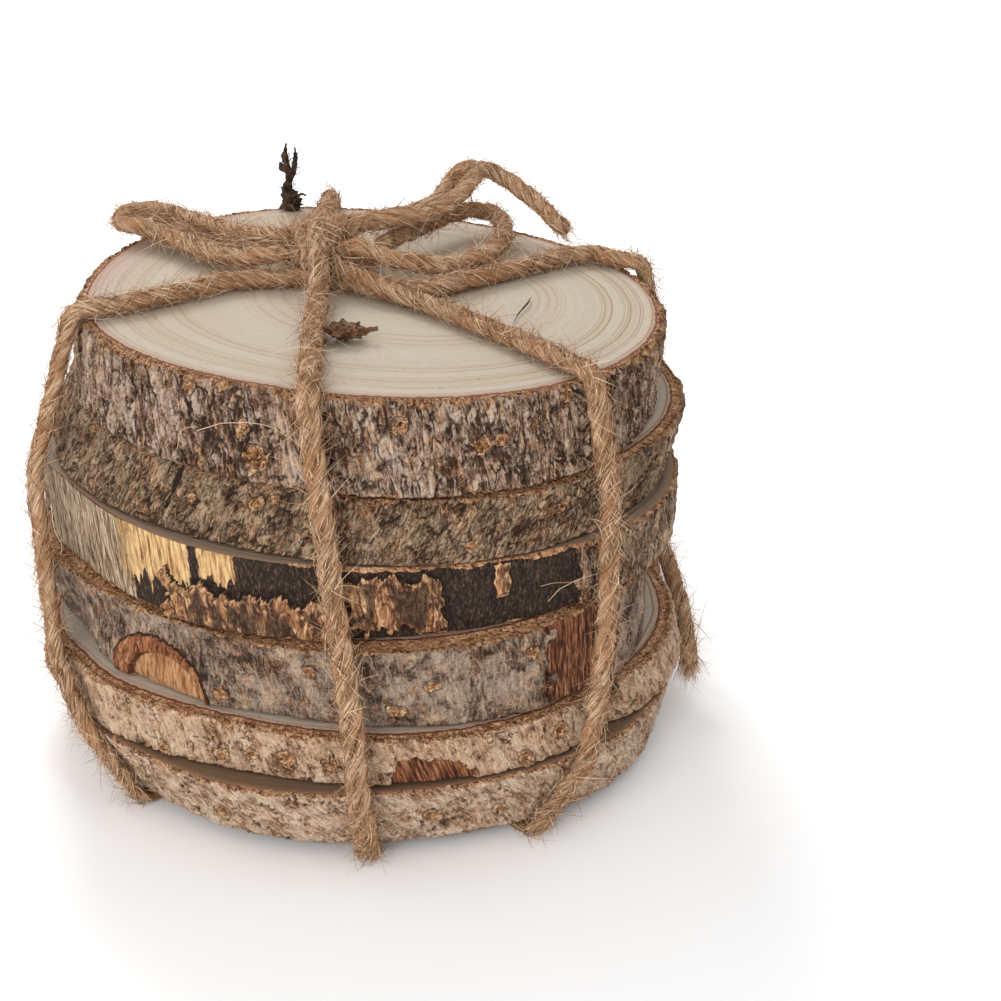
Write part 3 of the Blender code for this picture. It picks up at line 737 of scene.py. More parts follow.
@dataclass(frozen=True)
class TwineFinish:
    """Jute: fibres along each ply, straw-coloured where it is rubbed, with painted shade in reddish brown in
    the grooves.
    """

    # the darkest fibre tone, also used as the painted shade in the grooves between plies
    deep: Colour = (0.160, 0.078, 0.034)
    middle: Colour = (0.420, 0.240, 0.126)
    light: Colour = (0.700, 0.500, 0.330)
    rust: Colour = (0.420, 0.200, 0.090)

    def material(self, name: str) -> Material:
        """The strand's own material: it reads how far along and round a ply a place is."""
        graph, shader = new_material(name)
        fibre_place = graph.kept("fibre", vector=True)
        fibre = graph.noise(fibre_place, 1.3, 5.0, 0.5)
        blotch = graph.noise(graph.place(), 160.0, 3.0)
        level = graph.plus(blotch, 0.4, graph.times(fibre, 1.2))
        level = graph.math("SUBTRACT", level, 0.3)
        colour = graph.ramp(level, [(0.36, self.deep), (0.48, self.middle), (0.64, self.light)])
        orange = graph.window(graph.noise(graph.place(), 110.0, 4.0, 0.5), 0.46, 0.64)
        colour = graph.mix(graph.times(orange, 0.55), colour, self.rust)
        # painted shade: places that face into the strand, in the grooves between plies, are darkened towards
        # the deep brown
        groove_shade = graph.window(graph.kept("groove_shade"), 0.35, 1.0)
        colour = graph.mix(graph.times(groove_shade, 0.4), colour, self.deep)
        return finished(graph, shader, colour, 0.9, graph.bump(fibre, 0.0008, 1.0))

    def hair(self, name: str) -> Material:
        """Loose fibres: each has its own tone between brown and straw."""
        graph, shader = new_material(name)
        tones = paints((84, 46, 24), (166, 116, 76), (188, 148, 112), (242, 218, 186))
        colour = graph.ramp(graph.kept("tone"), zip((0.0, 0.35, 0.6, 1.0), tones))
        grained = graph.bump(graph.noise(graph.place(), 900.0), 0.00005, 0.3)
        return finished(graph, shader, colour, 0.75, grained)


@dataclass(frozen=True)
class DryFinish:
    """Dry plant matter: nearly black brown with lighter scuffs."""

    dark: Colour
    light: Colour

    def material(self, name: str) -> Material:
        """Noise on two scales between the two browns, with deep bump."""
        graph, shader = new_material(name)
        metres = graph.place()
        lumps = graph.noise(metres, 900.0, 5.0, 0.5)
        wide = graph.noise(metres, 260.0, 2.0)
        level = graph.plus(wide, 0.4, graph.times(lumps, 0.6))
        colour = graph.ramp(level, [(0.4, self.dark), (0.68, self.light)])
        return finished(graph, shader, colour, 0.95, graph.bump(lumps, 0.0006, 1.0))


class Relief(Enum):
    """How a slice's bark is broken up."""

    FISSURED = "deep upright cracks between long plates"
    PEBBLED = "small rounded scales"
    SMOOTH = "thin bark with fine wrinkles and raised dots"
    FLAKING = "wide plates with curling edges"


@dataclass(frozen=True)
class Patch:
    """A place on the bark: its mask, the angles and height shares it spans, and how far it stands out."""

    mask: str
    start: float
    stop: float
    low: float
    high: float
    depth: float = 0.0
    oval: bool = False
    ragged: float = 1.0
    splinter: float = 0.0  # how far its upper and lower edges run up and down the grain
    curl: float = 0.0  # how far its rim stands out


@dataclass
class BarkGrid:
    """A slice's bark while it is worked out, as arrays over its grid."""

    angle: Array
    share: Array  # of the way up
    smooth: Array  # radius of the smooth outline
    place: Array
    thickness: Array
    depth: Array  # how far the bark stands out from the outline
    crack: Array
    masks: dict[str, Array]


@dataclass(frozen=True)
class WoodSlice:
    """One sawn slice with its bark."""

    node: str
    number: int
    radius: float
    centre: tuple[float, float]
    foot_centre: tuple[float, float]
    foot_growth: float
    waves: tuple[tuple[int, float, float], ...]
    bulges: tuple[tuple[float, float, float], ...]
    pith: tuple[float, float]
    relief: Relief
    bark: BarkFinish
    sawn: SawnFinish
    slant: float = 0.0
    patches: tuple[Patch, ...] = ()
    dots: tuple[tuple[float, float, float], ...] = ()
    knot: tuple[tuple[float, float, float, float], ...] | None = None  # its bark's oval and its wood's
    rim: float = 1.0  # how wide the torn bark is along the top
    stretch: float = 0.34  # how fast the grain's pattern changes upwards, against sideways
    skirt: tuple[float, float, float] | None = None  # the foot's spread: angle, half width and reach

    MASKS = ("torn", "weathered", "inner", "fresh", "rust", "flake", "knot", "heart", "dot")
    ACROSS = 960  # points round the slice
    ROW = 0.38  # height of a row of the bark
    INSETS = (0.15, 0.5, 0.9, 1.4, 1.9, 2.4, 3.0, 3.8, 5.0)  # of a sawn face's outer rings
    SHARES = (0.75, 0.5, 0.25, 0.08)  # of the inner rings, from the pith

    def outline(self, angle: Array, share: Array) -> Array:
        """Smooth outline: the radius, plus waves round the slice, bulges, and growth towards the foot.

        Args:
            angle: degrees round the slice.
            share: height as a share of the thickness.

        Returns:
            Distance from the slice's middle.
        """
        radius = self.radius + self.foot_growth * (1.0 - share) + 0.0 * angle
        for crests, depth, crest in self.waves:
            radius = radius + depth * np.cos(np.radians(crests * (angle - crest)))
        for middle, half, depth in self.bulges:
            radius = radius + depth * np.exp(-((turned(angle, middle) / half) ** 2))
        return radius

    def middle(self, share: Array) -> tuple[Array, Array]:
        """The slice's middle in plan, which leans from the foot to the top face."""
        return tuple(top * share + foot * (1.0 - share) for top, foot in zip(self.centre, self.foot_centre))

    def build(self, effects: Effects) -> None:
        """Makes the slice in place of its solid."""
        angle = np.arange(self.ACROSS) * 360.0 / self.ACROSS
        low, _, _ = CUTS[self.number - 1]
        high, _, _ = CUTS[self.number]
        rows = max(12, round((high - low) / self.ROW))
        share = np.linspace(0.0, 1.0, rows)[:, None]
        side = self._side(angle[None, :], share)
        shell = self._closed(side, angle)
        bark = self.bark.material(f"{self.node}_bark", effects)
        sawn = self.sawn.material(f"{self.node}_sawn", effects)
        piece = shell.made(f"{self.node}_wood", [bark, sawn])
        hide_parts(self.node)

    def heights(self, x: Array, y: Array, share: Array) -> Array:
        """Height between the slice's two saw cuts at a share of the way up."""
        below = cut_height(self.number - 1, x, y) + (GAP if self.number > 1 else 0.0)
        return below * (1.0 - share) + cut_height(self.number, x, y) * share

    def _side(self, angle: Array, share: Array) -> dict[str, Array]:
        """The bark on its grid: its points and masks."""
        smooth = self.outline(angle, share)
        across, back = self.middle(share)
        flat_x, flat_y = np.cos(np.radians(angle)), np.sin(np.radians(angle))
        level = self.heights(across + smooth * flat_x, back + smooth * flat_y, share)
        turn = np.radians(angle) + self.slant * (level - level.mean()) / smooth
        drawn_out = level * self.stretch + self.number * 17.0
        grain = np.stack([smooth * np.cos(turn), smooth * np.sin(turn), drawn_out], axis=-1)
        place = np.stack([smooth * flat_x, smooth * flat_y, level + self.number * 40.0], axis=-1)
        depth, crack, tone = self._broken(place, grain)
        masks = {key: np.zeros_like(smooth) for key in self.MASKS}
        bark = BarkGrid(angle, share, smooth, place, level[-1:] - level[:1], depth, crack, masks)
        for patch in self.patches:
            self._lay(patch, bark)
        self._cut_branch(bark)
        self._tear_rims(bark)
        self._raise_dots(bark)
        self._spread_foot(bark)
        radius = smooth + bark.depth
        x, y = across + radius * flat_x, back + radius * flat_y
        points = np.stack([x, y, self.heights(x, y, share)], axis=-1)
        return {"points": points, "grain": grain, "crack": bark.crack, "tone": tone, **bark.masks}

    def _lay(self, patch: Patch, bark: BarkGrid) -> None:
        """Marks a patch in its mask, and raises or sinks the bark inside it."""
        inside = self._inside(patch, bark)
        marked = np.clip(0.5 + inside / 3.0, 0.0, 1.0)
        bark.masks[patch.mask] = np.maximum(bark.masks[patch.mask], marked)
        covered = smooth_step(0.5 + inside / 0.6)
        bark.crack = bark.crack * (1.0 - 0.8 * covered)
        bark.depth = bark.depth * (1.0 - 0.5 * covered) + patch.depth * covered
        bark.depth = bark.depth + patch.curl * covered * np.exp(-((inside / 1.2) ** 2))

    def _cut_branch(self, bark: BarkGrid) -> None:
        """Raises the bark round a cut branch, if the slice has one, and sinks the branch's wood."""
        if self.knot is None:
            return
        for key, (middle, low, half_round, half_up) in zip(("knot", "heart"), self.knot):
            far = np.hypot(turned(bark.angle, middle) / half_round, (bark.share - low) / half_up)
            bark.masks[key] = np.clip(1.0 - far, 0.0, 1.0)
        ring = smooth_step(bark.masks["knot"] * 8.0)
        bark.depth = bark.depth * (1.0 - 0.6 * ring) + 0.9 * smooth_step(bark.masks["knot"] * 6.0)
        bark.depth = bark.depth - 1.3 * smooth_step(bark.masks["heart"] * 8.0)
        bark.crack = bark.crack * (1.0 - ring)

    def _tear_rims(self, bark: BarkGrid) -> None:
        """Breaks the bark away along both saw cuts, as wide as noise says, but not where the wood is bare."""
        from_top = (1.0 - bark.share) * bark.thickness
        from_foot = bark.share * bark.thickness
        chips = 0.5 + 0.75 * layered(bark.place * (0.22, 0.22, 0.02), 91, 4)
        reach = self.rim * (0.35 + 2.2 * np.clip(chips, 0.0, 1.0) ** 2)
        bare = np.maximum(bark.masks["fresh"], bark.masks["weathered"])
        chipped = smooth_step(1.15 - from_top / reach) * (1.0 - smooth_step(bare * 4.0 - 1.0))
        lower = 0.15 + 1.1 * self.rim * np.clip(1.0 - chips, 0.0, 1.0) ** 3
        frayed = smooth_step(1.1 - from_foot / lower)
        sunk = 0.75 * chipped * smooth_step(1.2 - from_top / (0.7 * reach))
        bark.depth = bark.depth - sunk - 0.4 * frayed
        bark.masks["torn"] = np.maximum(bark.masks["torn"], np.maximum(chipped, 0.8 * frayed))
        bark.crack = bark.crack * (1.0 - 0.7 * chipped)

    def _raise_dots(self, bark: BarkGrid) -> None:
        """Corky spots: each a raised ring with a dip in its middle and a crack round it."""
        ragged = 0.5 * layered(bark.place * 0.7, 71, 3)
        for dot_angle, dot_share, size in self.dots:
            reach_round = turned(bark.angle, dot_angle) * math.radians(1.0) * bark.smooth
            reach_up = (bark.share - dot_share) * bark.thickness
            far = np.hypot(reach_round, reach_up) / size + ragged
            ring, dip = np.exp(-(((far - 0.7) / 0.4) ** 2)), np.exp(-((far / 0.4) ** 2))
            bark.depth = bark.depth + 0.45 * ring - 0.3 * dip
            bark.masks["dot"] = np.maximum(bark.masks["dot"], np.clip(1.0 - far / 1.35, 0.0, 1.0))
            bark.crack = np.maximum(bark.crack, 0.45 * np.exp(-(((far - 1.25) / 0.25) ** 2)))

    def _spread_foot(self, bark: BarkGrid) -> None:
        """Lets the bark stand out more towards the foot at one place, if the slice has a skirt."""
        if self.skirt is None:
            return
        middle, half, out = self.skirt
        spread = np.exp(-((turned(bark.angle, middle) / half) ** 4))
        bark.depth = bark.depth + out * spread * smooth_step(1.0 - bark.share / 0.8)

    def _inside(self, patch: Patch, bark: BarkGrid) -> Array:
        """How far inside a patch's ragged edge each place is, in millimetres."""
        half_round = math.radians(patch.stop - patch.start) / 2.0 * self.radius
        half_up = (patch.high - patch.low) / 2.0 * bark.thickness
        across = turned(bark.angle, (patch.start + patch.stop) / 2.0) * math.radians(1.0) * self.radius
        rise = (bark.share - (patch.low + patch.high) / 2.0) * bark.thickness
        if patch.splinter:
            wave = layered(bark.place * (0.8, 0.8, 0.06), 17 + self.number, 3)
            rise = rise + patch.splinter * half_up * wave
        if patch.oval:
            inside = (1.0 - np.hypot(across / half_round, rise / half_up)) * np.minimum(half_round, half_up)
        else:
            inside = np.minimum(half_round - np.abs(across), half_up - np.abs(rise))
        return inside + patch.ragged * 1.8 * layered(bark.place * (0.45, 0.45, 0.34), 7 + self.number, 3)

    def _broken(self, place: Array, grain: Array) -> tuple[Array, Array, Array]:
        """Bark relief by the slice's own kind.

        Args:
            place: points in millimetres, upright.
            grain: points in millimetres, drawn out along the grain.

        Returns:
            How far the bark stands out, in millimetres, how cracked it is, from 0 to 1, and its plate's tone.
        """
        seed = 100 * self.number
        bend = np.stack(
            [noise(place * 0.22, seed + k) + 0.35 * noise(place * 0.8, seed + 10 + k) for k in range(3)],
            axis=-1,
        )
        fine = layered(grain * (0.9, 0.9, 1.3), seed + 5, 3)
        fading = 0.35 + 0.65 * smooth_step(0.6 + 1.4 * noise(place * 0.3, seed + 6))
        if self.relief is Relief.FISSURED:
            edge, tone = plates((grain + bend * 1.6) * (0.40, 0.40, 0.62), seed + 1)
            furrow = smooth_step(1.0 - np.abs(layered(grain * (0.75, 0.75, 1.0), seed + 2, 2)) / 0.11)
            crack = fading * np.maximum(smooth_step(1.0 - edge / 0.17), 0.8 * furrow)
            depth = 0.3 - 0.7 * crack + 0.25 * (tone - 0.5) + 0.36 * fine
        elif self.relief is Relief.PEBBLED:
            edge, tone = plates((place + bend * 0.8) * (0.75, 0.75, 0.62), seed + 1)
            crack = fading * smooth_step(1.0 - edge / 0.25)
            depth = 0.2 - 0.35 * crack + 0.2 * (tone - 0.5) + 0.30 * fine
        elif self.relief is Relief.FLAKING:
            edge, tone = plates((grain + bend * 2.0) * (0.26, 0.26, 0.85), seed + 1)
            crack = fading * smooth_step(1.0 - edge / 0.10)
            depth = 0.15 - 0.45 * crack + 0.3 * (tone - 0.5) + 0.30 * fine
        else:
            edge, tone = plates((place + bend * 3.0) * (0.16, 0.16, 0.24), seed + 1)
            crack = 0.7 * fading * smooth_step(1.0 - edge / 0.05)
            depth = 0.1 - 0.3 * crack + 0.12 * (tone - 0.5) + 0.28 * fine
        return depth, crack, tone

    def _closed(self, side: dict[str, Array], angle: Array) -> Shell:
        """Closes the bark with its two sawn faces, each a fan of rings drawn towards the pith."""
        across = self.ACROSS
        foot_rows = self._face(side["points"][0], angle, 0.0)
        top_rows = self._face(side["points"][-1], angle, 1.0)
        rows = foot_rows[0][::-1] + list(side["points"][1:-1]) + top_rows[0]
        count = len(rows)
        grid = np.concatenate(rows)
        face_rows = len(foot_rows[0])
        per_row = np.zeros(count - 1, int)
        per_row[: face_rows - 1] = 1
        per_row[-(face_rows - 1) :] = 1
        slots = np.concatenate([np.repeat(per_row, across), np.ones(2 * across, int)])
        caps = np.stack([grid[:across].mean(axis=0), grid[-across:].mean(axis=0)])
        values = {key: self._spread(side[key], face_rows) for key in ("crack", "tone", *self.MASKS)}
        grain = [self._spread(side["grain"][..., k], face_rows) for k in range(3)]
        values["grain"] = np.stack(grain, axis=-1)
        for key, kind, on_bark, centre in (("growth", 1, 1.0, 0.0), ("inset", 2, 0.0, 50.0)):
            bark = [np.full(across, on_bark)] * (len(side["points"]) - 2)
            rings = foot_rows[kind][::-1] + bark + top_rows[kind]
            values[key] = np.concatenate([*rings, [centre, centre]])
        quads = grid_quads(count, across)
        return Shell(np.concatenate([grid, caps]), quads, end_fans(count, across), values, slots)

    def _spread(self, rows: Array, face_rows: int) -> Array:
        """A bark value on all points: the rim's own value carried over the faces."""
        foot = np.repeat(rows[:1], face_rows, axis=0)
        top = np.repeat(rows[-1:], face_rows, axis=0)
        spread = np.concatenate([foot, rows[1:-1], top]).ravel()
        return np.concatenate([spread, [0.0, 0.0]])

    def _face(self, rim: Array, angle: Array, share: float) -> tuple[list[Array], list[Array], list[Array]]:
        """Rings of a sawn face, from its rim inwards: points, growth and inset.

        Args:
            rim: points of the bark's edge on the saw cut.
            angle: degrees round the slice.
            share: 0 for the foot and 1 for the top.

        Returns:
            The rings' points, their share of the way from the pith to the outline, and how far in they are.
        """
        pith = np.array([*self.pith, 0.0])
        smooth = self.outline(angle, np.array(share))
        across, back = self.middle(np.array(share))
        turn = np.radians(angle)
        outline = np.stack([across + smooth * np.cos(turn), back + smooth * np.sin(turn)], axis=-1)
        reach = np.linalg.norm(outline - self.pith, axis=-1)
        flat = (rim - pith) * (1.0, 1.0, 0.0)
        length = np.linalg.norm(flat, axis=-1)
        toward = flat / length[:, None]
        points, growth, inset = [], [], []
        distances = [length] + [np.minimum(length, reach) - step for step in self.INSETS]
        distances += [(reach - self.INSETS[-1]) * part for part in self.SHARES]
        sign = 1.0 if share else -1.0
        for distance in distances:
            place = pith + toward * distance[:, None]
            height = self.heights(place[:, 0], place[:, 1], np.array(share))
            far_in = reach - distance
            crumb = 0.5 + 0.5 * layered(place * (0.9, 0.9, 0.0), 55, 2)
            sink = smooth_step((self.sawn.bark - far_in) / 1.2) * (0.12 + 0.45 * crumb)
            height = height - sign * sink * (distance < length)
            points.append(np.stack([place[:, 0], place[:, 1], height], axis=-1))
            growth.append(distance / reach)
            inset.append(far_in)
        return points, growth, inset


HAIR_FLOOR = 0.15  # height that no loose fibre goes below
STRAND = 1.6  # radius of the twine where it is round
TOP_FLAT = (1.5, 1.8)  # half thickness and half width of the twine where it is pulled over the top face
SIDE_FLAT = (1.35, 1.9)  # and down the sides
FOOT_FLAT = (0.95, 2.3)  # and under the stack
REST = TOP_FLAT[0] + GAP  # height of a strand that lies on the top face
KNOT = (-6.6, 10.0, 4.6)  # its middle: across, back, and above the top face
KNOT_HALF = (5.6, 6.6, 4.3)

Route = tuple[tuple[float, float, float], ...]  # across, back, and height
Table = tuple[tuple[float, float], ...]  # height and degrees, from the top down


@dataclass(frozen=True)
class Turn:
    """One turn of held twine: its two ways over the top face from the knot, and two down the sides."""

    over_first: Route
    down_first: Table
    over_last: Route
    down_last: Table
    rise: float  # how far it lies above the turns that it crosses under the stack


TURNS = (
    Turn(
        ((-6.4, 5.0, REST), (-13.0, 3.4, REST), (-18.0, 2.6, REST), (-22.0, 0.2, REST), (-35.1, -11.5, REST)),
        ((76.0, 200.5), (51.0, 201.5), (38.0, 207.5), (26.0, 211.5), (14.0, 220.5), (3.0, 223.5)),
        (
            (-6.4, 5.0, REST), (4.0, -2.0, REST), (12.2, -0.8, REST), (21.0, 7.0, REST), (35.1, 20.0, REST),
            (40.0, 22.3, REST), (43.4, 19.8, REST),
        ),
        ((76.0, 20.5), (50.0, 20.0), (14.0, 22.0), (3.0, 27.0)),
        0.0,
    ),
    Turn(
        ((-7.2, 8.6, 9.3), (-6.4, 3.0, 7.8), (-6.0, -2.4, 3.9), (-5.8, -8.0, REST), (-5.2, -30.0, REST)),
        ((76.0, 265.0), (63.0, 266.9), (48.0, 268.8), (31.0, 271.0), (14.0, 272.0), (3.0, 273.0)),
        ((-7.2, 8.6, 9.3), (-8.5, 14.0, 7.8), (-9.3, 18.4, 4.2), (-9.4, 23.0, REST), (-8.4, 38.0, REST)),
        ((76.0, 98.2), (40.0, 97.0), (3.0, 94.0)),
        0.05,
    ),
    Turn(
        (
            (-6.4, 7.4, 4.6), (-3.4, 3.2, 4.2), (1.4, -0.8, 3.0), (7.4, -5.0, REST), (14.5, -11.6, REST),
            (28.0, -28.0, REST),
        ),
        ((76.0, 313.0), (58.0, 315.2), (38.0, 313.2), (24.0, 311.5), (14.0, 309.0), (3.0, 303.5)),
        ((-6.4, 7.4, 4.6), (-9.4, 13.8, 3.6), (-13.0, 19.8, 2.2), (-18.6, 25.4, REST), (-32.0, 36.0, REST)),
        ((76.0, 132.5), (40.0, 130.0), (3.0, 124.0)),
        0.1,
    ),
)

LEFT_LOOP = (
    (-19.3, 17.8, 5.0), (-25.1, 23.2, 4.4), (-31.1, 29.8, 4.1), (-36.2, 34.4, 4.1), (-39.9, 35.6, 4.0),
    (-42.8, 33.4, 3.8), (-43.4, 29.6, 3.6), (-41.9, 27.6, 3.4), (-38.5, 26.2, 3.2), (-34.7, 23.4, 3.0),
    (-30.1, 18.4, 3.0), (-25.4, 13.3, 3.0), (-20.4, 9.0, 3.5),
)
RIGHT_LOOP = (
    (4.4, 17.6, 4.4), (7.9, 23.6, 4.4), (11.6, 30.0, 4.5), (15.5, 35.8, 4.6), (19.6, 38.8, 4.4),
    (22.9, 37.4, 4.0), (24.2, 31.4, 3.7), (24.0, 24.0, 3.4), (21.6, 15.2, 3.4), (17.6, 8.8, 3.6),
    (12.8, 5.4, 4.0), (7.8, 4.6, 4.8), (3.9, 4.9, 5.6),
)
ARCHED_END = (
    (-1.6, 20.8, 6.6), (4.6, 22.6, 7.3), (9.0, 24.4, 7.9), (12.0, 27.0, 8.7), (13.8, 30.8, 9.8),
    (15.4, 34.8, 11.3), (18.0, 38.4, 12.2), (21.6, 39.1, 11.7), (24.7, 38.3, 10.4), (27.5, 36.2, 9.0),
    (30.4, 33.5, 7.4), (32.9, 30.0, 5.8), (35.2, 27.0, 4.4),
)
SHORT_END = (
    (3.0, 18.0, 7.9), (8.4, 20.2, 8.2), (12.6, 23.0, 8.7), (15.6, 26.2, 9.8), (17.6, 29.8, 10.9),
    (18.6, 32.4, 11.7), (19.4, 34.2, 12.2),
)
FRAYED_END = (
    (47.3, 9.2, 25.9), (48.3, 12.4, 26.0), (50.2, 14.9, 25.8), (52.4, 15.9, 24.0), (54.0, 13.8, 21.0),
    (55.0, 10.3, 18.6), (56.1, 5.5, 15.4), (56.9, 1.0, 11.4), (57.0, -1.0, 8.0),
)
# Where the free strands leave the knot: degrees in plan, and degrees above level
LEFT_LOOP_EXITS = ((162, 14), (208, 6))
RIGHT_LOOP_EXITS = ((12, -14), (-33, 16))
ARCHED_EXIT = (78, 14)
SHORT_EXIT = (42, 20)


def above_top(route: Route) -> list[Array]:
    """Points of a route whose heights are counted from the top face."""
    return [np.array([x, y, top_height(x, y) + lift]) for x, y, lift in route]


def knot_exit(bearing: float, lift: float) -> list[Array]:
    """Where a strand leaves the knot's oval: a point just clear of it, and one further out.

    Args:
        bearing: direction in plan.
        lift: degrees above level.

    Returns:
        The two points.
    """
    turn, rise = math.radians(bearing), math.radians(lift)
    level = math.cos(rise)
    toward = np.array([level * math.cos(turn), level * math.sin(turn), math.sin(rise)])
    half = np.array(KNOT_HALF)
    outward = toward / half
    outward /= np.linalg.norm(outward)
    x, y, height = KNOT
    surface = np.array([x, y, top_height(x, y) + height]) + toward * half
    return [surface + (GAP + 0.1) * outward, surface + 3.0 * outward]


def smooth_route(points: list[Array] | Route, step: float, closed: bool = False) -> Array:
    """Points a step apart on the smooth curve through given points (Catmull-Rom).

    Args:
        points: the points to pass through.
        step: distance between the new points.
        closed: whether the last point joins the first.

    Returns:
        The new points, (n, 3).
    """
    route = np.array(points)
    if closed:
        padded = np.vstack([route[-1:], route, route[:2]])
    else:
        padded = np.vstack([2 * route[0] - route[1], route, 2 * route[-1] - route[-2]])
    fine = []
    for a, b, c, d in zip(padded[:-3], padded[1:-2], padded[2:-1], padded[3:]):
        t = np.linspace(0, 1, 16, endpoint=False)[:, None]
        square, cube = 2 * a - 5 * b + 4 * c - d, 3 * b - a - 3 * c + d
        fine.append(0.5 * (2 * b + (c - a) * t + square * t**2 + cube * t**3))
    fine = np.vstack(fine + [route[:1] if closed else route[-1:]])
    return evenly(fine, step)


def run_along(line: Array) -> Array:
    """Distance along a line at each of its points."""
    return np.concatenate([[0.0], np.cumsum(np.linalg.norm(np.diff(line, axis=0), axis=1))])


def evenly(line: Array, step: float) -> Array:
    """Points a step apart along a line of straight pieces."""
    along = run_along(line)
    stops = np.linspace(0, along[-1], max(3, round(along[-1] / step) + 1))
    return np.stack([np.interp(stops, along, line[:, k]) for k in range(line.shape[1])], axis=-1)


@dataclass
class Strand:
    """A run of twine: its middle, the way its flat side faces, and its half thickness and half width."""

    line: Array
    facing: Array
    half: Array
    closed: bool = False
    seed: int = 0

    PLIES = 3
    SIDES = 9
    LAY = 15.0  # length of one turn of the plies
    STRAY_REACH = 4.4  # length of the longest fibre that stands away

    def frame(self) -> tuple[Array, Array, Array]:
        """Forward, up and across at each point: up is the facing made square to the line."""
        if self.closed:
            ahead = np.roll(self.line, -1, axis=0) - np.roll(self.line, 1, axis=0)
        else:
            ahead = np.gradient(self.line, axis=0)
        ahead = unit(ahead)
        across = unit(np.cross(ahead, self.facing))
        return ahead, np.cross(across, ahead), across

    def shell(self) -> Shell:
        """Three plies twisted round the line, each a lumpy tube with its centre on a flattened helix.

        Returns:
            The plies as one shell, with their fibre places, how far each place faces into a groove for the
            painted shade there, and how far along they are.
        """
        ahead, up, across = self.frame()
        along = run_along(self.line)
        count = len(self.line)
        whole_turns = max(1, round(along[-1] / self.LAY)) if self.closed else along[-1] / self.LAY
        twist = 2 * math.pi * whole_turns * along / (along[-1] + (along[1] if self.closed else 0.0))
        around = 2 * math.pi * np.arange(self.SIDES) / self.SIDES
        shells = []
        for ply in range(self.PLIES):
            turn = twist + 2 * math.pi * ply / self.PLIES
            drift = stacked(along * 0.16, ply * 9.3, self.seed * 3.7)
            wander = noise(drift, 11 + ply) * 0.14
            fat = 0.70 * (1.0 + 0.16 * noise(drift * (2.0, 1.0, 1.0), 21 + ply))
            radius = fat * self.half[:, 0]
            out_up = self.half[:, 0] - radius + wander
            out_across = self.half[:, 1] - radius + wander
            centre = (
                self.line
                + (out_up * np.cos(turn))[:, None] * up
                + (out_across * np.sin(turn))[:, None] * across
            )
            if not self.closed:
                radius[[0, -1]] *= 0.5
            spin = around[None, :] + turn[:, None]
            flat_x, flat_y = np.cos(around), np.sin(around)
            lumpy = stacked(flat_x * 1.3 + ply * 7.0, flat_y * 1.3 + self.seed * 5.0, along[:, None] * 0.55)
            lumps = 1.0 + 0.16 * noise(lumpy, 31 + ply)
            reach = radius[:, None] * lumps
            points = (
                centre[:, None]
                + (reach * np.cos(spin))[..., None] * up[:, None]
                + (reach * np.sin(spin))[..., None] * across[:, None]
            )
            outward = np.cos(spin - turn[:, None])
            # how far each place faces into the strand: the mask for the painted shade in the grooves
            away = np.clip(0.5 - 0.75 * outward, 0.0, 1.0)
            fibre = stacked(
                2.3 * flat_x + ply * 11.0, 2.3 * flat_y + self.seed * 13.0, along[:, None] * 0.22
            )
            quads = grid_quads(count, self.SIDES, joined_rows=self.closed)
            shell_points = points.reshape(-1, 3)
            fans = np.zeros((0, 3), int)
            values = {"groove_shade": away.ravel(), "fibre": fibre.reshape(-1, 3)}
            if not self.closed:
                shell_points, fans, values = self._capped(shell_points, centre, values, count)
            shells.append(Shell(shell_points, quads, fans, values))
        return merged(shells)

    def _capped(
        self, points: Array, centre: Array, values: dict[str, Array], count: int
    ) -> tuple[Array, Array, dict[str, Array]]:
        """Closes a ply's two ends, each by a fan from one more point on its middle."""
        points = np.concatenate([points, centre[:1], centre[-1:]])
        kept = {
            "groove_shade": np.concatenate([values["groove_shade"], [0.6, 0.6]]),
            "fibre": np.concatenate([values["fibre"], values["fibre"][:1], values["fibre"][-1:]]),
        }
        return points, end_fans(count, self.SIDES), kept

    def hairs(self, per_mm: float, rng: np.random.Generator, stray: float) -> Shell:
        """Loose fibres: most lie along the twist, and a share stand away from the strand.

        Args:
            per_mm: fibres on each millimetre.
            rng: the random numbers.
            stray: share of fibres that stand away.

        Returns:
            The fibres as thin three-sided tapered tubes: each is start + s·length·heading + s²·length·bend.
        """
        ahead, up, across = self.frame()
        along = run_along(self.line)
        count = max(4, int(per_mm * along[-1]))
        at = rng.integers(0, len(self.line), count)
        side = rng.uniform(0, 2 * math.pi, count)
        radial = np.cos(side)[:, None] * up[at] + np.sin(side)[:, None] * across[at]
        tangential = -np.sin(side)[:, None] * up[at] + np.cos(side)[:, None] * across[at]
        edge = self.half[at, 0] * np.abs(np.cos(side)) + self.half[at, 1] * np.abs(np.sin(side))
        edge = edge / (np.abs(np.cos(side)) + np.abs(np.sin(side)))
        loose = rng.random(count) < stray
        start = self.line[at] + radial * (edge * rng.uniform(0.78, 1.0, count))[:, None]
        direction = np.where(rng.random(count) < 0.5, 1.0, -1.0)
        lift = np.where(loose, rng.uniform(0.2, 1.3, count), rng.uniform(-0.02, 0.10, count))
        swirl = np.where(loose, rng.normal(0, 0.7, count), rng.normal(0.25, 0.75, count))
        turned_by = tangential * (swirl * direction)[:, None]
        heading = unit(ahead[at] * direction[:, None] + radial * lift[:, None] + turned_by)
        stray_length = np.minimum(rng.gamma(3.0, 0.85, count), self.STRAY_REACH)
        length = np.where(loose, stray_length, rng.uniform(2.5, 6.5, count))
        curl = np.where(loose[:, None], rng.normal(0, 0.42, (count, 3)), 0.0)
        curl = curl - radial * np.where(loose, 0.2, length * 0.075 + 0.1)[:, None]
        thick = rng.uniform(0.04, 0.085, count)
        return hair_shell(start, heading, curl, length, thick, rng)


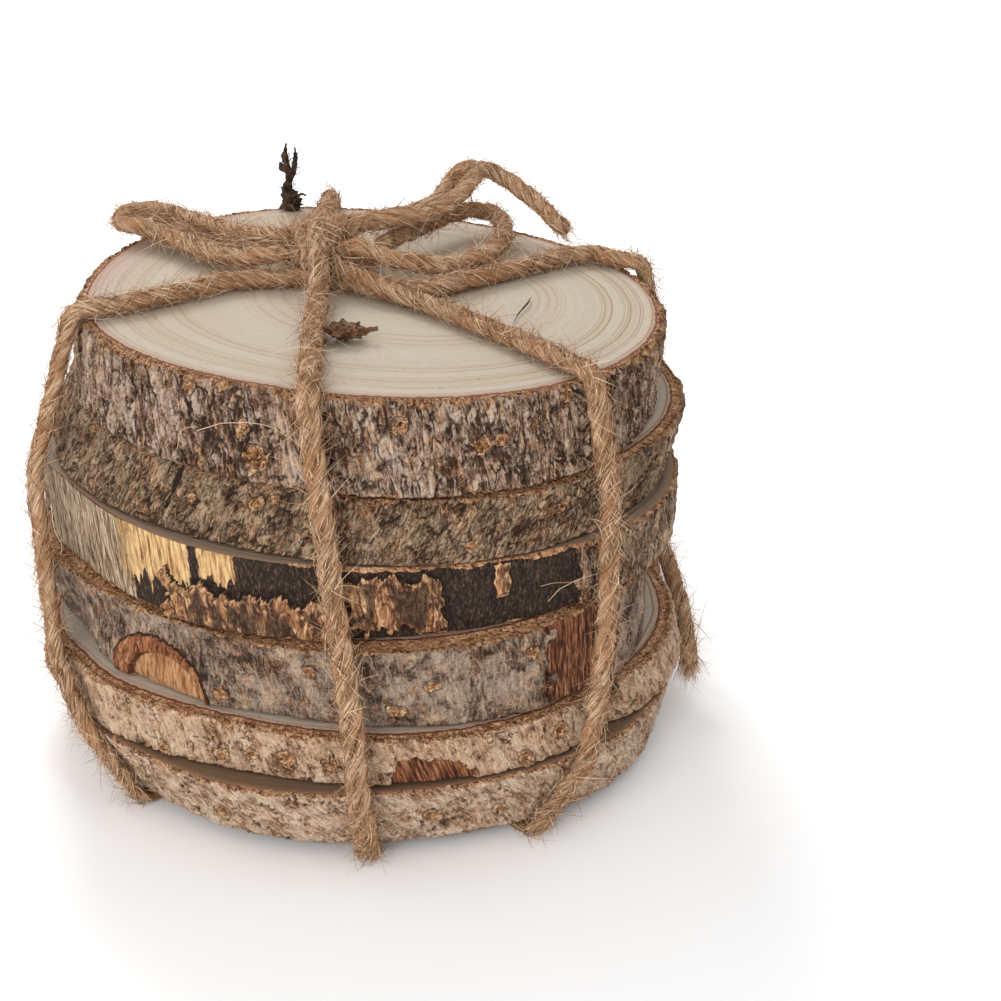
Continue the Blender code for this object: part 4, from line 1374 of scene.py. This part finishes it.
def hair_shell(
    start: Array, heading: Array, curl: Array, length: Array, thick: Array, rng: np.random.Generator
) -> Shell:
    """Many thin hairs at once: start + s·length·heading + s²·length·curl, tapering to their tips.

    Args:
        start: where each begins.
        heading: which way it sets off, of length one.
        curl: how it bends.
        length: how long it is.
        thick: its radius at the start.
        rng: the random numbers for its tone.

    Returns:
        One shell, each hair a closed three-sided tube.
    """
    count, stops, sides = len(start), 5, 3
    share = np.linspace(0, 1, stops)[None, :, None]
    line = start[:, None] + length[:, None, None] * (share * heading[:, None] + share**2 * curl[:, None])
    line[..., 2] = np.maximum(line[..., 2], HAIR_FLOOR)
    side = unit(np.cross(heading, rng.normal(0, 1, (count, 3))))
    other = np.cross(heading, side)
    around = 2 * math.pi * np.arange(sides) / sides
    taper = thick[:, None] * (1.0 - 0.75 * share[..., 0])
    ring = np.cos(around)[None, None, :, None] * side[:, None, None] + (
        np.sin(around)[None, None, :, None] * other[:, None, None]
    )
    points = line[:, :, None] + taper[..., None, None] * ring
    one = grid_quads(stops, sides)
    each = stops * sides
    base = np.arange(count)[:, None, None] * each
    quads = (one[None] + base).reshape(-1, 4)
    ends = np.array([[0, 2, 1], [each - 3, each - 2, each - 1]])
    tone = np.repeat(rng.beta(1.3, 1.2, count), each)
    return Shell(points.reshape(-1, 3), quads, (ends[None] + base).reshape(-1, 3), {"tone": tone})


def tight_line(profile: list[tuple[float, float]]) -> list[tuple[float, float]]:
    """The corners that a tight strand touches on its way down an outline: its convex side."""
    hull: list[tuple[float, float]] = []
    for station in [profile[0]] + [place for place in profile if place[1] < profile[0][1]]:
        while len(hull) > 1:
            (r0, z0), (r1, z1) = hull[-2], hull[-1]
            if (r1 - r0) * (station[1] - z0) > (station[0] - r0) * (z1 - z0):
                hull.pop()
            else:
                break
        hull.append(station)
    return hull


@dataclass(frozen=True)
class Twine:
    """The held twine: three turns round the stack and the knot, with the loose fibres on them."""

    slices: tuple[WoodSlice, ...]
    finish: TwineFinish
    step: float = 0.75  # between the points of a strand's line
    fuzz: tuple[float, float] = (18.0, 0.27)  # fibres on each millimetre, and the share that stands away
    knot_fuzz: tuple[float, float] = (20.0, 0.5)
    clear: float = 0.35  # between a strand's inner side and the bark's smooth outline
    gathered: float = 1.5  # radius of the strands inside the knot
    wrap: float = 1.35  # radius of the strands round it

    def build(self) -> None:
        """Makes the strands in place of their solid, and their fibres."""
        rng = np.random.default_rng(4)
        strands = [self.turn(turn, seed) for seed, turn in enumerate(TURNS)]
        strands += self.knot_strands()
        whole = merged([strand.shell() for strand in strands])
        piece = whole.made("twine_strands", [self.finish.material("jute")])
        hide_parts("twine")
        hair = self.finish.hair("jute_fibre")
        parts = {"first": strands[:1], "second": strands[1:2], "third": strands[2:3], "knot": strands[3:]}
        for name, part in parts.items():
            per_mm, stray = self.knot_fuzz if name == "knot" else self.fuzz
            fuzz = merged([strand.hairs(per_mm, rng, stray) for strand in part])
            fuzz.made(f"twine_fibres_{name}", [hair])

    def turn(self, turn: Turn, seed: int) -> Strand:
        """One closed turn: over the top, down, under the stack, up and back."""
        halves = []
        for over, down in ((turn.over_first, turn.down_first), (turn.over_last, turn.down_last)):
            way = [(point + (0.0, 0.0, turn.rise), UP) for point in above_top(over)]
            way += self.side_way(down)
            way += self.foot_way(way[-1][0], turn.rise)
            halves.append(way)
        whole = halves[0] + halves[1][:0:-1]
        both = evenly(np.array([np.concatenate(pair) for pair in whole + whole[:1]]), self.step)[:-1]
        for _ in range(3):
            both = 0.25 * np.roll(both, 1, axis=0) + 0.5 * both + 0.25 * np.roll(both, -1, axis=0)
        facing = unit(both[:, 3:])
        return Strand(both[:, :3], facing, self.halves(facing), closed=True, seed=seed)

    def halves(self, facing: Array) -> Array:
        """Half thickness and half width where the strand lies on something that faces this way."""
        share = np.abs(facing[:, 2:3])
        end = np.where(facing[:, 2:3] > 0, np.array([TOP_FLAT]), np.array([FOOT_FLAT]))
        return np.array([SIDE_FLAT]) * (1 - share) + end * share

    def profile(self, table: Table) -> list[tuple[float, float]]:
        """The stack's outline under a strand, from the top down: how far out and how high each place is."""
        profile = []
        for wood in self.slices[::-1]:
            for share in (1.0, 0.78, 0.5, 0.22, 0.0):
                height = CUTS[wood.number][0] * share + CUTS[wood.number - 1][0] * (1 - share)
                bearing = self.bearing(table, height)
                across, back = wood.middle(np.array(share))
                touching = bearing + np.array([-3.0, 0.0, 3.0])
                reach = wood.outline(touching, np.array(share)).max() + self.clear
                x = float(across) + reach * math.cos(math.radians(bearing))
                y = float(back) + reach * math.sin(math.radians(bearing))
                level = float(wood.heights(np.array(x), np.array(y), np.array(share)))
                profile.append((math.hypot(x, y), level))
        return profile

    def side_way(self, table: Table) -> list[tuple[Array, Array]]:
        """A strand's way down the side: over the rim, straight from touch to touch, and under."""
        hull = tight_line(self.profile(table))
        leans = [math.pi / 2]
        leans += [math.atan2(r1 - r0, z0 - z1) for (r0, z0), (r1, z1) in zip(hull[:-1], hull[1:])]
        leans.append(-math.pi / 2)
        way = []
        for corner in range(len(hull)):
            for reach, level, lean in self._stops(hull, leans, corner):
                bearing = math.radians(self.bearing(table, level))
                out = np.array([math.cos(bearing), math.sin(bearing), 0.0])
                facing = math.cos(lean) * out + math.sin(lean) * UP
                lift = float(self.halves(facing[None])[0, 0]) + GAP
                way.append((reach * out + (0.0, 0.0, level) + lift * facing, facing))
        return way

    def _stops(
        self, hull: list[tuple[float, float]], leans: list[float], corner: int
    ) -> list[tuple[float, float, float]]:
        """How far out and how high places are round a corner and on to the next one, and their lean."""
        reach, height = hull[corner]
        before, after = leans[corner], leans[corner + 1]
        steps = max(1, round(abs(before - after) / math.radians(15)))
        stops = [(reach, height, before + (after - before) * (k + 0.5) / steps) for k in range(steps)]
        if corner + 1 < len(hull):
            r1, z1 = hull[corner + 1]
            parts = int((height - z1) // 4.0)
            shares = [part / (parts + 1) for part in range(1, parts + 1)]
            stops += [(reach + (r1 - reach) * s, height + (z1 - height) * s, after) for s in shares]
        return stops

    def bearing(self, table: Table, height: float) -> float:
        """Reads a strand's table of heights and angles."""
        heights, angles = zip(*sorted(table))
        return float(np.interp(height, heights, angles))

    def foot_way(self, last: Array, rise: float) -> list[tuple[Array, Array]]:
        """A strand's way under the stack to the crossing in the middle."""
        reach = math.hypot(last[0], last[1])
        out = np.array([last[0], last[1], 0.0]) / reach
        stops = ((reach - 3.0, 0.0), (13.0, rise))
        return [(out * far + (0.0, 0.0, FOOT_FLAT[0] + lift), -UP) for far, lift in stops]

    def knot_strands(self) -> list[Strand]:
        """The knot: four strands gathered across it, and two wraps round them beside the turn over it."""
        x, y, lift = KNOT
        middle = np.array([x, y, top_height(x, y) + lift])
        strands = []
        crossings = (
            (LEFT_LOOP_EXITS[0], RIGHT_LOOP_EXITS[0], (0.0, 1.2, -1.0)),
            (LEFT_LOOP_EXITS[1], RIGHT_LOOP_EXITS[1], (0.0, -2.4, 0.2)),
            (LEFT_LOOP_EXITS[0], SHORT_EXIT, (0.6, 2.6, 1.6)),
            (LEFT_LOOP_EXITS[1], ARCHED_EXIT, (-1.0, 0.5, -0.6)),
        )
        for seed, (first, last, sag) in enumerate(crossings):
            start, stop = knot_exit(*first)[0], knot_exit(*last)[0]
            line = smooth_route([start, middle + np.array(sag), stop], self.step)
            strands.append(self._round(line, 40 + seed, self.gathered))
        turn = np.linspace(0, 2 * math.pi, 48, endpoint=False)
        for seed, (shift, lean, half_y, half_z) in enumerate(((2.6, 0.25, 5.4, 3.7), (-3.4, -0.3, 5.0, 3.3))):
            ring = stacked(
                shift + lean * half_y * np.sin(turn), half_y * np.sin(turn), half_z * np.cos(turn) - 0.2
            )
            strands.append(self._round(middle + ring, 50 + seed, self.wrap, closed=True))
        return strands

    def _round(self, line: Array, seed: int, radius: float, closed: bool = False) -> Strand:
        """A round strand along a line."""
        facing = np.tile(UP, (len(line), 1)) + 0.05
        if closed:
            facing = unit(line - line.mean(axis=0))
        return Strand(line, facing, np.full((len(line), 2), radius), closed=closed, seed=seed)


@dataclass(frozen=True)
class Bow:
    """The free twine: two loops, two ends and the short frayed end at the side."""

    finish: TwineFinish
    step: float = 0.75  # between the points of a strand's line
    fuzz: tuple[float, float] = (17.0, 0.36)  # fibres on each millimetre, and the share that stands away
    tip: tuple[int, float] = (90, 3.6)  # fibres at a cut end, and how far they reach
    frayed_tip: tuple[int, float] = (320, 4.6)
    matted: int = 760  # fibres between the sides of the left loop

    def build(self) -> None:
        rng = np.random.default_rng(9)
        material, hair = self.finish.material("jute_bow"), self.finish.hair("jute_bow_fibre")
        for seed, (node, line, far_end) in enumerate(self.routes()):
            facing = np.tile(UP, (len(line), 1)) + np.array([0.02, 0.03, 0.0])
            strand = Strand(line, facing, np.full((len(line), 2), STRAND), seed=60 + seed)
            piece = strand.shell().made(f"{node}_strand", [material])
            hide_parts(node)
            per_mm, stray = self.fuzz
            fuzz = strand.hairs(per_mm, rng, stray)
            if far_end == "bare":
                count, reach = self.frayed_tip if node == "twine_end_frayed" else self.tip
                fuzz = merged([fuzz, self.tassel(line, rng, count, reach)])
            if node == "bow_loop_left":
                fuzz = merged([fuzz, self.matting(line, rng)])
            hairs = fuzz.made(f"{node}_fibres", [hair])

    def routes(self) -> list[tuple[str, Array, str]]:
        """Each free strand's node, line and far end."""
        made = []
        for node, exits, route in (
            ("bow_loop_left", LEFT_LOOP_EXITS, LEFT_LOOP),
            ("bow_loop_right", RIGHT_LOOP_EXITS, RIGHT_LOOP),
        ):
            start, stop = knot_exit(*exits[0]), knot_exit(*exits[1])
            line = smooth_route([*start, *above_top(route), *stop[::-1]], self.step)
            made.append((node, line, "object"))
        for node, exit_at, route in (
            ("bow_end_arched", ARCHED_EXIT, ARCHED_END),
            ("bow_end_short", SHORT_EXIT, SHORT_END),
        ):
            line = smooth_route([*knot_exit(*exit_at), *above_top(route)], self.step)
            made.append((node, line, "bare"))
        made.append(("twine_end_frayed", smooth_route(FRAYED_END, self.step), "bare"))
        return made

    def matting(self, line: Array, rng: np.random.Generator) -> Shell:
        """Matted fibres between the two sides of the narrow loop, lying along it.

        Each starts somewhere between a place on one side and the one as far from the loop's other end.
        """
        count = self.matted
        at = rng.integers(6, len(line) // 2 - 2, count)
        near, opposite = line[at], line[len(line) - 1 - at]
        between = rng.uniform(0.1, 0.9, count)[:, None] * (opposite - near)
        start = near + between + rng.normal(0, 0.4, (count, 3))
        along = (line[at + 2] - line[at - 2]) * rng.choice((-1.0, 1.0), count)[:, None]
        heading = unit(unit(along) + rng.normal(0, 0.24, (count, 3)) * (1.0, 1.0, 0.5))
        curl = rng.normal(0, 0.12, (count, 3))
        length, thick = rng.uniform(2.5, 6.5, count), rng.uniform(0.05, 0.09, count)
        return hair_shell(start, heading, curl, length, thick, rng)

    def tassel(self, line: Array, rng: np.random.Generator, count: int, reach: float) -> Shell:
        """A frayed tip: fibres that run on past the cut and spread, up to a reach from it."""
        heading = line[-1] - line[-4]
        heading = heading / np.linalg.norm(heading)
        spread = unit(heading[None] + rng.normal(0, 0.28, (count, 3)))
        start = line[-3] + rng.normal(0, 0.6, (count, 3))
        curl = rng.normal(0, 0.2, (count, 3))
        length, thick = rng.uniform(1.5, reach, count), rng.uniform(0.05, 0.09, count)
        return hair_shell(start, spread, curl, length, thick, rng)


def tube(points: Array, radii: Array, sides: int, rough: float, seed: int) -> Shell:
    """A rough tapered tube: circles along a line, each point pushed in or out by noise.

    Args:
        points: its middle line, (n, 3).
        radii: its radius at each point.
        sides: points round it.
        rough: how far the noise pushes, as a share of the radius.
        seed: picks the noise.

    Returns:
        The closed tube.
    """
    ahead = unit(np.gradient(points, axis=0))
    side = unit(np.cross(ahead, np.array([0.31, 0.92, 0.14])))
    other = np.cross(ahead, side)
    around = 2 * math.pi * np.arange(sides) / sides
    ring = np.cos(around)[None, :, None] * side[:, None] + np.sin(around)[None, :, None] * other[:, None]
    bare = points[:, None] + radii[:, None, None] * ring
    push = 1.0 + rough * layered(bare * 1.1, seed, 3)
    rows = points[:, None] + radii[:, None, None] * push[..., None] * ring
    whole = np.concatenate([rows.reshape(-1, 3), points[:1], points[-1:]])
    return Shell(whole, grid_quads(len(points), sides), end_fans(len(points), sides))


@dataclass(frozen=True)
class Sprig:
    """The dry sprig that stands on the back rim of the top slice."""

    wood: WoodSlice
    bearing: float = 108.7
    inset: float = 2.3  # from the rim
    height: float = 12.4
    rootlets: int = 120
    finish: DryFinish = DryFinish((0.012, 0.008, 0.006), (0.15, 0.085, 0.05))

    # Each twig: places across, back and up as a share of the height, its radii along it, and its roughness
    TWIGS = (
        (
            (
                (0, 0, 0), (0, 0, 0.1), (-0.3, 0, 0.25), (-0.1, 0, 0.5), (-0.6, 0, 0.66), (-0.8, 0.1, 0.8),
                (-0.4, 0, 0.99),
            ),
            (1.9, 1.5, 0.85, 0.6, 0.75, 0.5, 0.2), 0.8,
        ),
        (
            ((-0.1, 0, 0.4), (0.7, 0.1, 0.58), (1.1, 0.1, 0.72), (1.2, 0.1, 0.93)),
            (0.5, 0.42, 0.45, 0.15), 0.8,
        ),
        (((0.3, 0, 0.08), (1.9, -0.3, 0.22), (3.0, -0.3, 0.2)), (0.55, 0.3, 0.15), 0.4),
        (((-0.6, 0, 0.62), (-1.4, 0.1, 0.6), (-1.6, 0.1, 0.7)), (0.5, 0.5, 0.3), 0.5),
    )

    def foot(self) -> Array:
        """Where it stands on the slice's rim."""
        radius = float(self.wood.outline(np.array(self.bearing), np.array(1.0))) - self.inset
        x = self.wood.centre[0] + radius * math.cos(math.radians(self.bearing))
        y = self.wood.centre[1] + radius * math.sin(math.radians(self.bearing))
        return np.array([x, y, float(top_height(x, y)) + 0.35])

    def build(self) -> None:
        """Makes the sprig in place of its solid, and its fine rootlets."""
        foot = self.foot()
        shells = []
        for seed, (route, radii, rough) in enumerate(self.TWIGS):
            line = smooth_route([foot + np.array([x, y, share * self.height]) for x, y, share in route], 0.22)
            along = np.interp(np.linspace(0, 1, len(line)), np.linspace(0, 1, len(radii)), radii)
            shells.append(tube(line, along, 14, rough, seed))
        piece = merged(shells).made("dry_sprig_twigs", [self.finish.material("dry_twig")])
        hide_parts("dry_sprig")
        rootlets = self._roots(foot).made("dry_sprig_rootlets", [self.finish.material("dry_rootlet")])

    def _roots(self, foot: Array) -> Shell:
        """Thin rootlets that stand out from the twigs, most of them to the right."""
        rng = np.random.default_rng(12)
        count = self.rootlets
        spans = ((-0.8, 1.2), (-0.6, 0.6), (0.5, self.height * 0.85))
        start = foot + np.stack([rng.uniform(low, high, count) for low, high in spans], axis=-1)
        heading = unit(rng.normal(0, 1, (count, 3)) * (1.0, 0.5, 0.5) + (0.35, 0.0, 0.2))
        curl = rng.normal(0, 0.8, (count, 3))
        return hair_shell(start, heading, curl, rng.uniform(0.8, 2.6, count), np.full(count, 0.06), rng)


@dataclass(frozen=True)
class Crumbs:
    """Small loose things: the bark scrap, a thin splinter, a dark lump, and pale fibres on the bark."""

    jute: TwineFinish
    scrap: DryFinish = DryFinish((0.020, 0.009, 0.005), (0.30, 0.150, 0.075))
    dark: DryFinish = DryFinish((0.022, 0.014, 0.010), (0.110, 0.072, 0.050))
    scrap_place: tuple[float, float] = (-0.4, -23.6)
    scrap_lift: float = 1.75  # of its middle above the top face
    scrap_half: tuple[float, float, float] = (2.7, 2.5, 1.05)
    splinter: Route = ((28.6, -0.4, 0.5), (28.2, -3.6, 0.7), (26.6, -9.0, 0.5), (25.9, -13.0, 0.35))
    lump: Route = ((39.4, -35.4, 24.6), (40.6, -35.2, 23.4), (42.0, -34.2, 21.4))

    LONG_FIBRES = (
        ((-21.3, -47.2, 71.8), (-16.6, -49.3, 73.9), (-10.6, -50.6, 74.0), (-5.6, -52.4, 71.6),
         (-3.6, -53.4, 68.6)),
        ((-24.2, -46.9, 69.0), (-23.4, -47.6, 72.0), (-20.8, -48.4, 73.0)),
        ((30.0, -43.6, 40.6), (33.0, -44.6, 44.6), (37.4, -42.6, 45.8), (41.0, -41.0, 45.4)),
        ((28.0, -44.4, 44.4), (31.6, -45.0, 45.6), (36.4, -43.4, 45.2)),
        ((-41.4, 30.6, 80.4), (-46.6, 30.6, 84.4), (-52.8, 31.0, 84.8)),
        ((-47.4, -29.4, 52.0), (-46.4, -33.6, 49.6), (-45.2, -34.6, 47.4), (-45.8, -33.0, 45.0)),
    )

    def build(self) -> None:
        """Makes the scrap in place of its solid, and the small things round it."""
        x, y = self.scrap_place
        foot = np.array([x, y, float(top_height(x, y)) + self.scrap_lift])
        stem_line = smooth_route([foot + (1.2, 0, 0.1), foot + (3.4, 0.3, 0.1), foot + (5.0, 0.5, 0.3)], 0.2)
        stem = tube(stem_line, np.linspace(0.75, 0.3, len(stem_line)), 10, 0.5, 5)
        scale = merged([self._scale(foot), stem])
        piece = scale.made("bark_scrap_scale", [self.scrap.material("scrap_bark")])
        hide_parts("bark_scrap")
        splinter = smooth_route(above_top(self.splinter), 0.3)
        radii = np.interp(np.linspace(0, 1, len(splinter)), (0, 0.3, 1), (0.10, 0.17, 0.05))
        thread = tube(splinter, radii, 8, 0.2, 8)
        thread.made("bark_splinter", [self.scrap.material("splinter_bark")])
        line = smooth_route(self.lump, 0.2)
        radii = np.interp(np.linspace(0, 1, len(line)), (0, 0.35, 0.6, 1), (0.9, 1.3, 0.9, 1.0))
        lump = tube(line, radii, 18, 0.7, 14)
        lump.made("bark_lump", [self.dark.material("lump_bark")])
        self._fibres().made("long_fibres", [self.jute.hair("loose_fibre")])

    def _scale(self, foot: Array) -> Shell:
        """The scrap: a flattened ball pushed in and out by noise, and curled up at its sides."""
        levels, sides = 26, 40
        polar = np.linspace(0.02, math.pi - 0.02, levels)[:, None]
        around = 2 * math.pi * np.arange(sides) / sides
        ball = stacked(np.sin(polar) * np.cos(around), np.sin(polar) * np.sin(around), -np.cos(polar))
        push = 1.0 + 0.75 * np.clip(layered(ball * 2.6, 3, 4), -0.5, 0.7)
        rows = foot + ball * push[..., None] * self.scrap_half + 0.25 * UP * np.abs(ball[..., :1])
        points = np.concatenate([rows.reshape(-1, 3), rows[[0, -1]].mean(axis=1)])
        return Shell(points, grid_quads(levels, sides), end_fans(levels, sides))

    def _fibres(self) -> Shell:
        """Long pale fibres: thin tubes along their routes, bent by noise, each with its own tone."""
        rng = np.random.default_rng(21)
        shells = []
        for route in self.LONG_FIBRES:
            line = smooth_route(route, 0.4)
            line = line + 0.12 * np.stack([noise(line * 0.5, 60 + k) for k in range(3)], axis=-1)
            shell = tube(line, np.linspace(0.06, 0.035, len(line)), 4, 0.1, 9)
            shell.values = {"tone": np.full(len(shell.points), rng.uniform(0.55, 0.85))}
            shells.append(shell)
        return merged(shells)


@dataclass(frozen=True)
class Studio:
    """Pale floor, soft lights and the camera at the photograph's angle."""

    target: tuple[float, float, float] = (23.69, 0.0, 39.45)
    distance: float = 400.0
    pitch: float = 24.06
    focal: float = 2326.25  # pixels, for a frame 1001 pixels wide
    pixels: int = 1001
    sensor: float = 36.0
    aim: tuple[float, float, float] = (0.0, 0.0, 0.05)  # where the lights point, in metres

    def build(self) -> None:
        """Makes the camera, the floor, the world and the lights."""
        self._camera()
        self._floor()
        world = bpy.data.worlds.new("studio")
        world.use_nodes = True
        background = world.node_tree.nodes["Background"]
        background.inputs["Color"].default_value = (1.0, 1.0, 1.0, 1.0)
        graph = Graph(world.node_tree)
        seen = graph.node("ShaderNodeLightPath").outputs["Is Camera Ray"]
        world.node_tree.links.new(graph.plus(seen, 0.2, 0.85), background.inputs["Strength"])
        bpy.context.scene.world = world
        self._light("key", (-0.12, 0.42, 0.42), 0.22, 1.8)
        self._light("front", (-0.25, -0.8, 0.30), 0.6, 5.5)
        bpy.context.scene.view_settings.view_transform = "Standard"

    def _camera(self) -> None:
        """The camera, level from side to side and looking down on the stack."""
        lens = bpy.data.cameras.new("camera")
        lens.sensor_width = self.sensor
        lens.lens = self.focal / self.pixels * self.sensor
        lens.clip_start = 0.01
        camera = bpy.data.objects.new("camera", lens)
        bpy.context.scene.collection.objects.link(camera)
        pitch = math.radians(self.pitch)
        back = np.array([0.0, -math.cos(pitch), math.sin(pitch)]) * self.distance
        camera.location = Vector((np.array(self.target) + AXIS + back) * MM)
        camera.rotation_euler = (math.pi / 2 - pitch, 0.0, 0.0)
        bpy.context.scene.camera = camera

    def _floor(self) -> None:
        """A wide pale floor."""
        mesh = bpy.data.meshes.new("floor")
        mesh.from_pydata([(-4, -4, 0), (4, -4, 0), (4, 4, 0), (-4, 4, 0)], [], [(0, 1, 2, 3)])
        floor = bpy.data.objects.new("floor", mesh)
        bpy.context.scene.collection.objects.link(floor)
        graph, shader = new_material("pale_floor")
        pale = finished(graph, shader, (0.95, 0.95, 0.95, 1.0), 0.9, graph.bump(0.0, 0.0))
        mesh.materials.append(pale)

    def _light(self, name: str, place: tuple[float, float, float], size: float, power: float) -> None:
        """A square soft light that faces the stack."""
        lamp = bpy.data.lights.new(name, "AREA")
        lamp.size = size
        lamp.energy = power
        made = bpy.data.objects.new(name, lamp)
        bpy.context.scene.collection.objects.link(made)
        made.location = place
        made.rotation_euler = (Vector(self.aim) - Vector(place)).to_track_quat("-Z", "Y").to_euler()


PALE_WOOD = SawnFinish(paint(186, 175, 159), paint(138, 108, 80), paint(176, 159, 136))
TOP_WOOD = SawnFinish(
    paint(182, 170, 154), paint(136, 106, 78), paint(174, 157, 132),
    rings=(0.19, 0.245, 0.44, 0.485, 0.525, 0.74, 0.82, 0.90, 0.96),
    bark=1.8,
    blush=158.0,
)
GREY_WOOD = SawnFinish(paint(140, 122, 103), paint(92, 73, 57), paint(118, 99, 80), bark=0.7)
BROWN_WOOD = replace(GREY_WOOD, pale=paint(118, 94, 73), tint=paint(94, 72, 54))

SLICES = (
    WoodSlice(
        "slice_1", 1, 54.6, (-0.3, -1.6), (0.9, 0.2), -4.0,
        ((2, 0.7, -38), (3, 0.4, 57), (5, 0.8, -35)), ((197, 6, -0.8),), (4.0, 6.0), Relief.FLAKING,
        BarkFinish(
            paints((150, 108, 78), (191, 155, 126), (214, 181, 153), (226, 197, 171), (239, 217, 193)), 1.2,
            cracks=0.8, plates=0.35
        ),
        BROWN_WOOD, slant=0.55, rim=0.7,
        dots=((228, 0.6, 1.6), (246, 0.35, 1.4), (284, 0.5, 1.5), (296, 0.4, 1.3)),
    ),
    WoodSlice(
        "slice_2", 2, 53.5, (-0.3, -1.6), (0.8, 0.2), 0.5,
        ((2, 0.4, -59), (3, 1.1, -40), (5, 0.7, -6)), ((318, 6, -2.0), (212, 7, -0.9)), (-6.0, 4.0),
        Relief.FLAKING,
        BarkFinish(
            paints((150, 108, 75), (188, 150, 119), (208, 172, 141), (220, 187, 157), (233, 206, 179)), 1.2,
            cracks=0.8, plates=0.3
        ),
        PALE_WOOD, slant=0.2,
        patches=(
            Patch("rust", 276.0, 289.5, -0.45, 0.58, -0.7, oval=True, ragged=0.8),
            Patch("rust", 316, 321, 0.5, 1.4, -0.5, ragged=0.4),
        ),
        rim=0.8,
        dots=((235.6, 0.12, 1.2), (247, 0.31, 1.5), (252.5, 0.42, 1.3), (259, 0.43, 1.6), (267, 0.43, 1.3),
              (299.6, 0.25, 1.4), (307, 0.58, 1.5)),
    ),
    WoodSlice(
        "slice_3", 3, 51.8, (-2.2, -2.7), (-0.9, 0.2), -1.4,
        ((2, 2.6, -57), (3, 2.1, -51), (5, 0.6, -28)), ((205, 8, -1.0),), (2.0, 2.0), Relief.SMOOTH,
        BarkFinish(
            paints((56, 39, 27), (96, 76, 61), (134, 111, 94), (161, 138, 120), (190, 167, 147)), 1.0,
            warm=0.5, cracks=0.7, plates=0.35, blotches=0.95, twist=1.2
        ),
        replace(PALE_WOOD, bark=4.6),
        patches=(Patch("rust", 306.0, 318.5, -0.3, 1.3, -1.0, ragged=1.35),),
        knot=((233.6, 0.08, 12.8, 0.64), (235.6, 0.06, 9.4, 0.44)),
        rim=0.55,
        skirt=(232.0, 21.0, 3.2),
        dots=((248, 0.22, 1.4), (266, 0.72, 1.2), (279.6, 0.24, 1.5), (286, 0.55, 1.3), (303, 0.75, 1.4),
              (307, 0.24, 1.2)),
    ),
    WoodSlice(
        "slice_4", 4, 53.6, (-0.9, 0.2), (-0.4, 0.5), -0.8,
        ((2, 2.5, -44), (4, 0.7, -26)), ((196, 9, 1.2),), (-2.0, 5.0), Relief.SMOOTH,
        BarkFinish(
            paints((66, 44, 30), (112, 84, 62), (148, 118, 94), (176, 148, 124), (206, 182, 158)), 1.0,
            twist=1.0
        ),
        GREY_WOOD,
        patches=(
            Patch("weathered", 196, 262, -0.4, 1.4, -0.4, ragged=0.5),
            Patch("inner", 229, 311, -0.4, 1.5, -0.5, ragged=0.6),
            Patch("fresh", 226, 243.5, 0.33, 1.6, -0.2, ragged=0.35, splinter=0.5),
            Patch("fresh", 245.5, 252.4, 0.62, 1.5, -0.2, ragged=0.35, splinter=0.4),
            Patch("flake", 238, 269.5, -0.5, 0.50, 0.8, ragged=1.2, curl=0.7),
            Patch("flake", 271.5, 287, 0.16, 0.88, 0.8, ragged=1.0, curl=0.7),
            Patch("flake", 296.0, 298.3, 0.45, 0.95, 0.3, ragged=0.3),
        ),
        rim=0.7,
    ),
    WoodSlice(
        "slice_5", 5, 50.9, (2.6, 0.5), (-1.2, 0.1), 0.9,
        ((2, 2.7, -44), (5, 0.5, 0)), ((190, 9, -0.9),), (5.0, 3.0), Relief.PEBBLED,
        BarkFinish(
            paints((68, 42, 24), (108, 82, 58), (142, 114, 88), (170, 143, 115), (204, 177, 147)), 1.9,
            plates=0.7, twist=1.2
        ),
        PALE_WOOD,
        patches=(Patch("inner", 235.2, 236.0, 0.3, 1.3, -0.6, ragged=0.15),),
        rim=0.65,
        dots=((240, 0.57, 1.0), (253, 0.71, 1.2), (256, 0.83, 0.9), (306, 0.66, 1.2), (291, 0.28, 1.0)),
    ),
    WoodSlice(
        "slice_6", 6, 50.0, (1.7, 1.7), (0.5, 0.1), -0.4,
        ((2, 3.4, -59), (3, 0.8, -15), (4, 0.8, 27)), ((108, 7, 0.7),), (14.0, 3.0), Relief.FISSURED,
        BarkFinish(
            paints((74, 46, 28), (120, 91, 70), (158, 128, 107), (186, 157, 136), (214, 191, 172)), 1.7
        ),
        TOP_WOOD, slant=0.25, stretch=0.25,
        dots=((239.6, 0.88, 1.4), (250.7, 0.56, 1.5), (254, 0.27, 2.4), (292, 0.52, 1.6), (295, 0.54, 1.3),
              (278.5, 0.75, 1.3), (306.6, 0.92, 1.5)),
    ),
)


def main() -> None:
    """Builds the scene in order."""
    logging.basicConfig(level=logging.INFO, format="%(message)s")
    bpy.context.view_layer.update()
    Studio().build()
    jute = TwineFinish()
    Bow(jute).build()
    Twine(SLICES, jute).build()
    effects = Effects()
    for wood in SLICES:
        wood.build(effects)
    Sprig(SLICES[-1]).build()
    Crumbs(jute).build()
    bpy.context.view_layer.update()


if __name__ == "__main__":
    main()
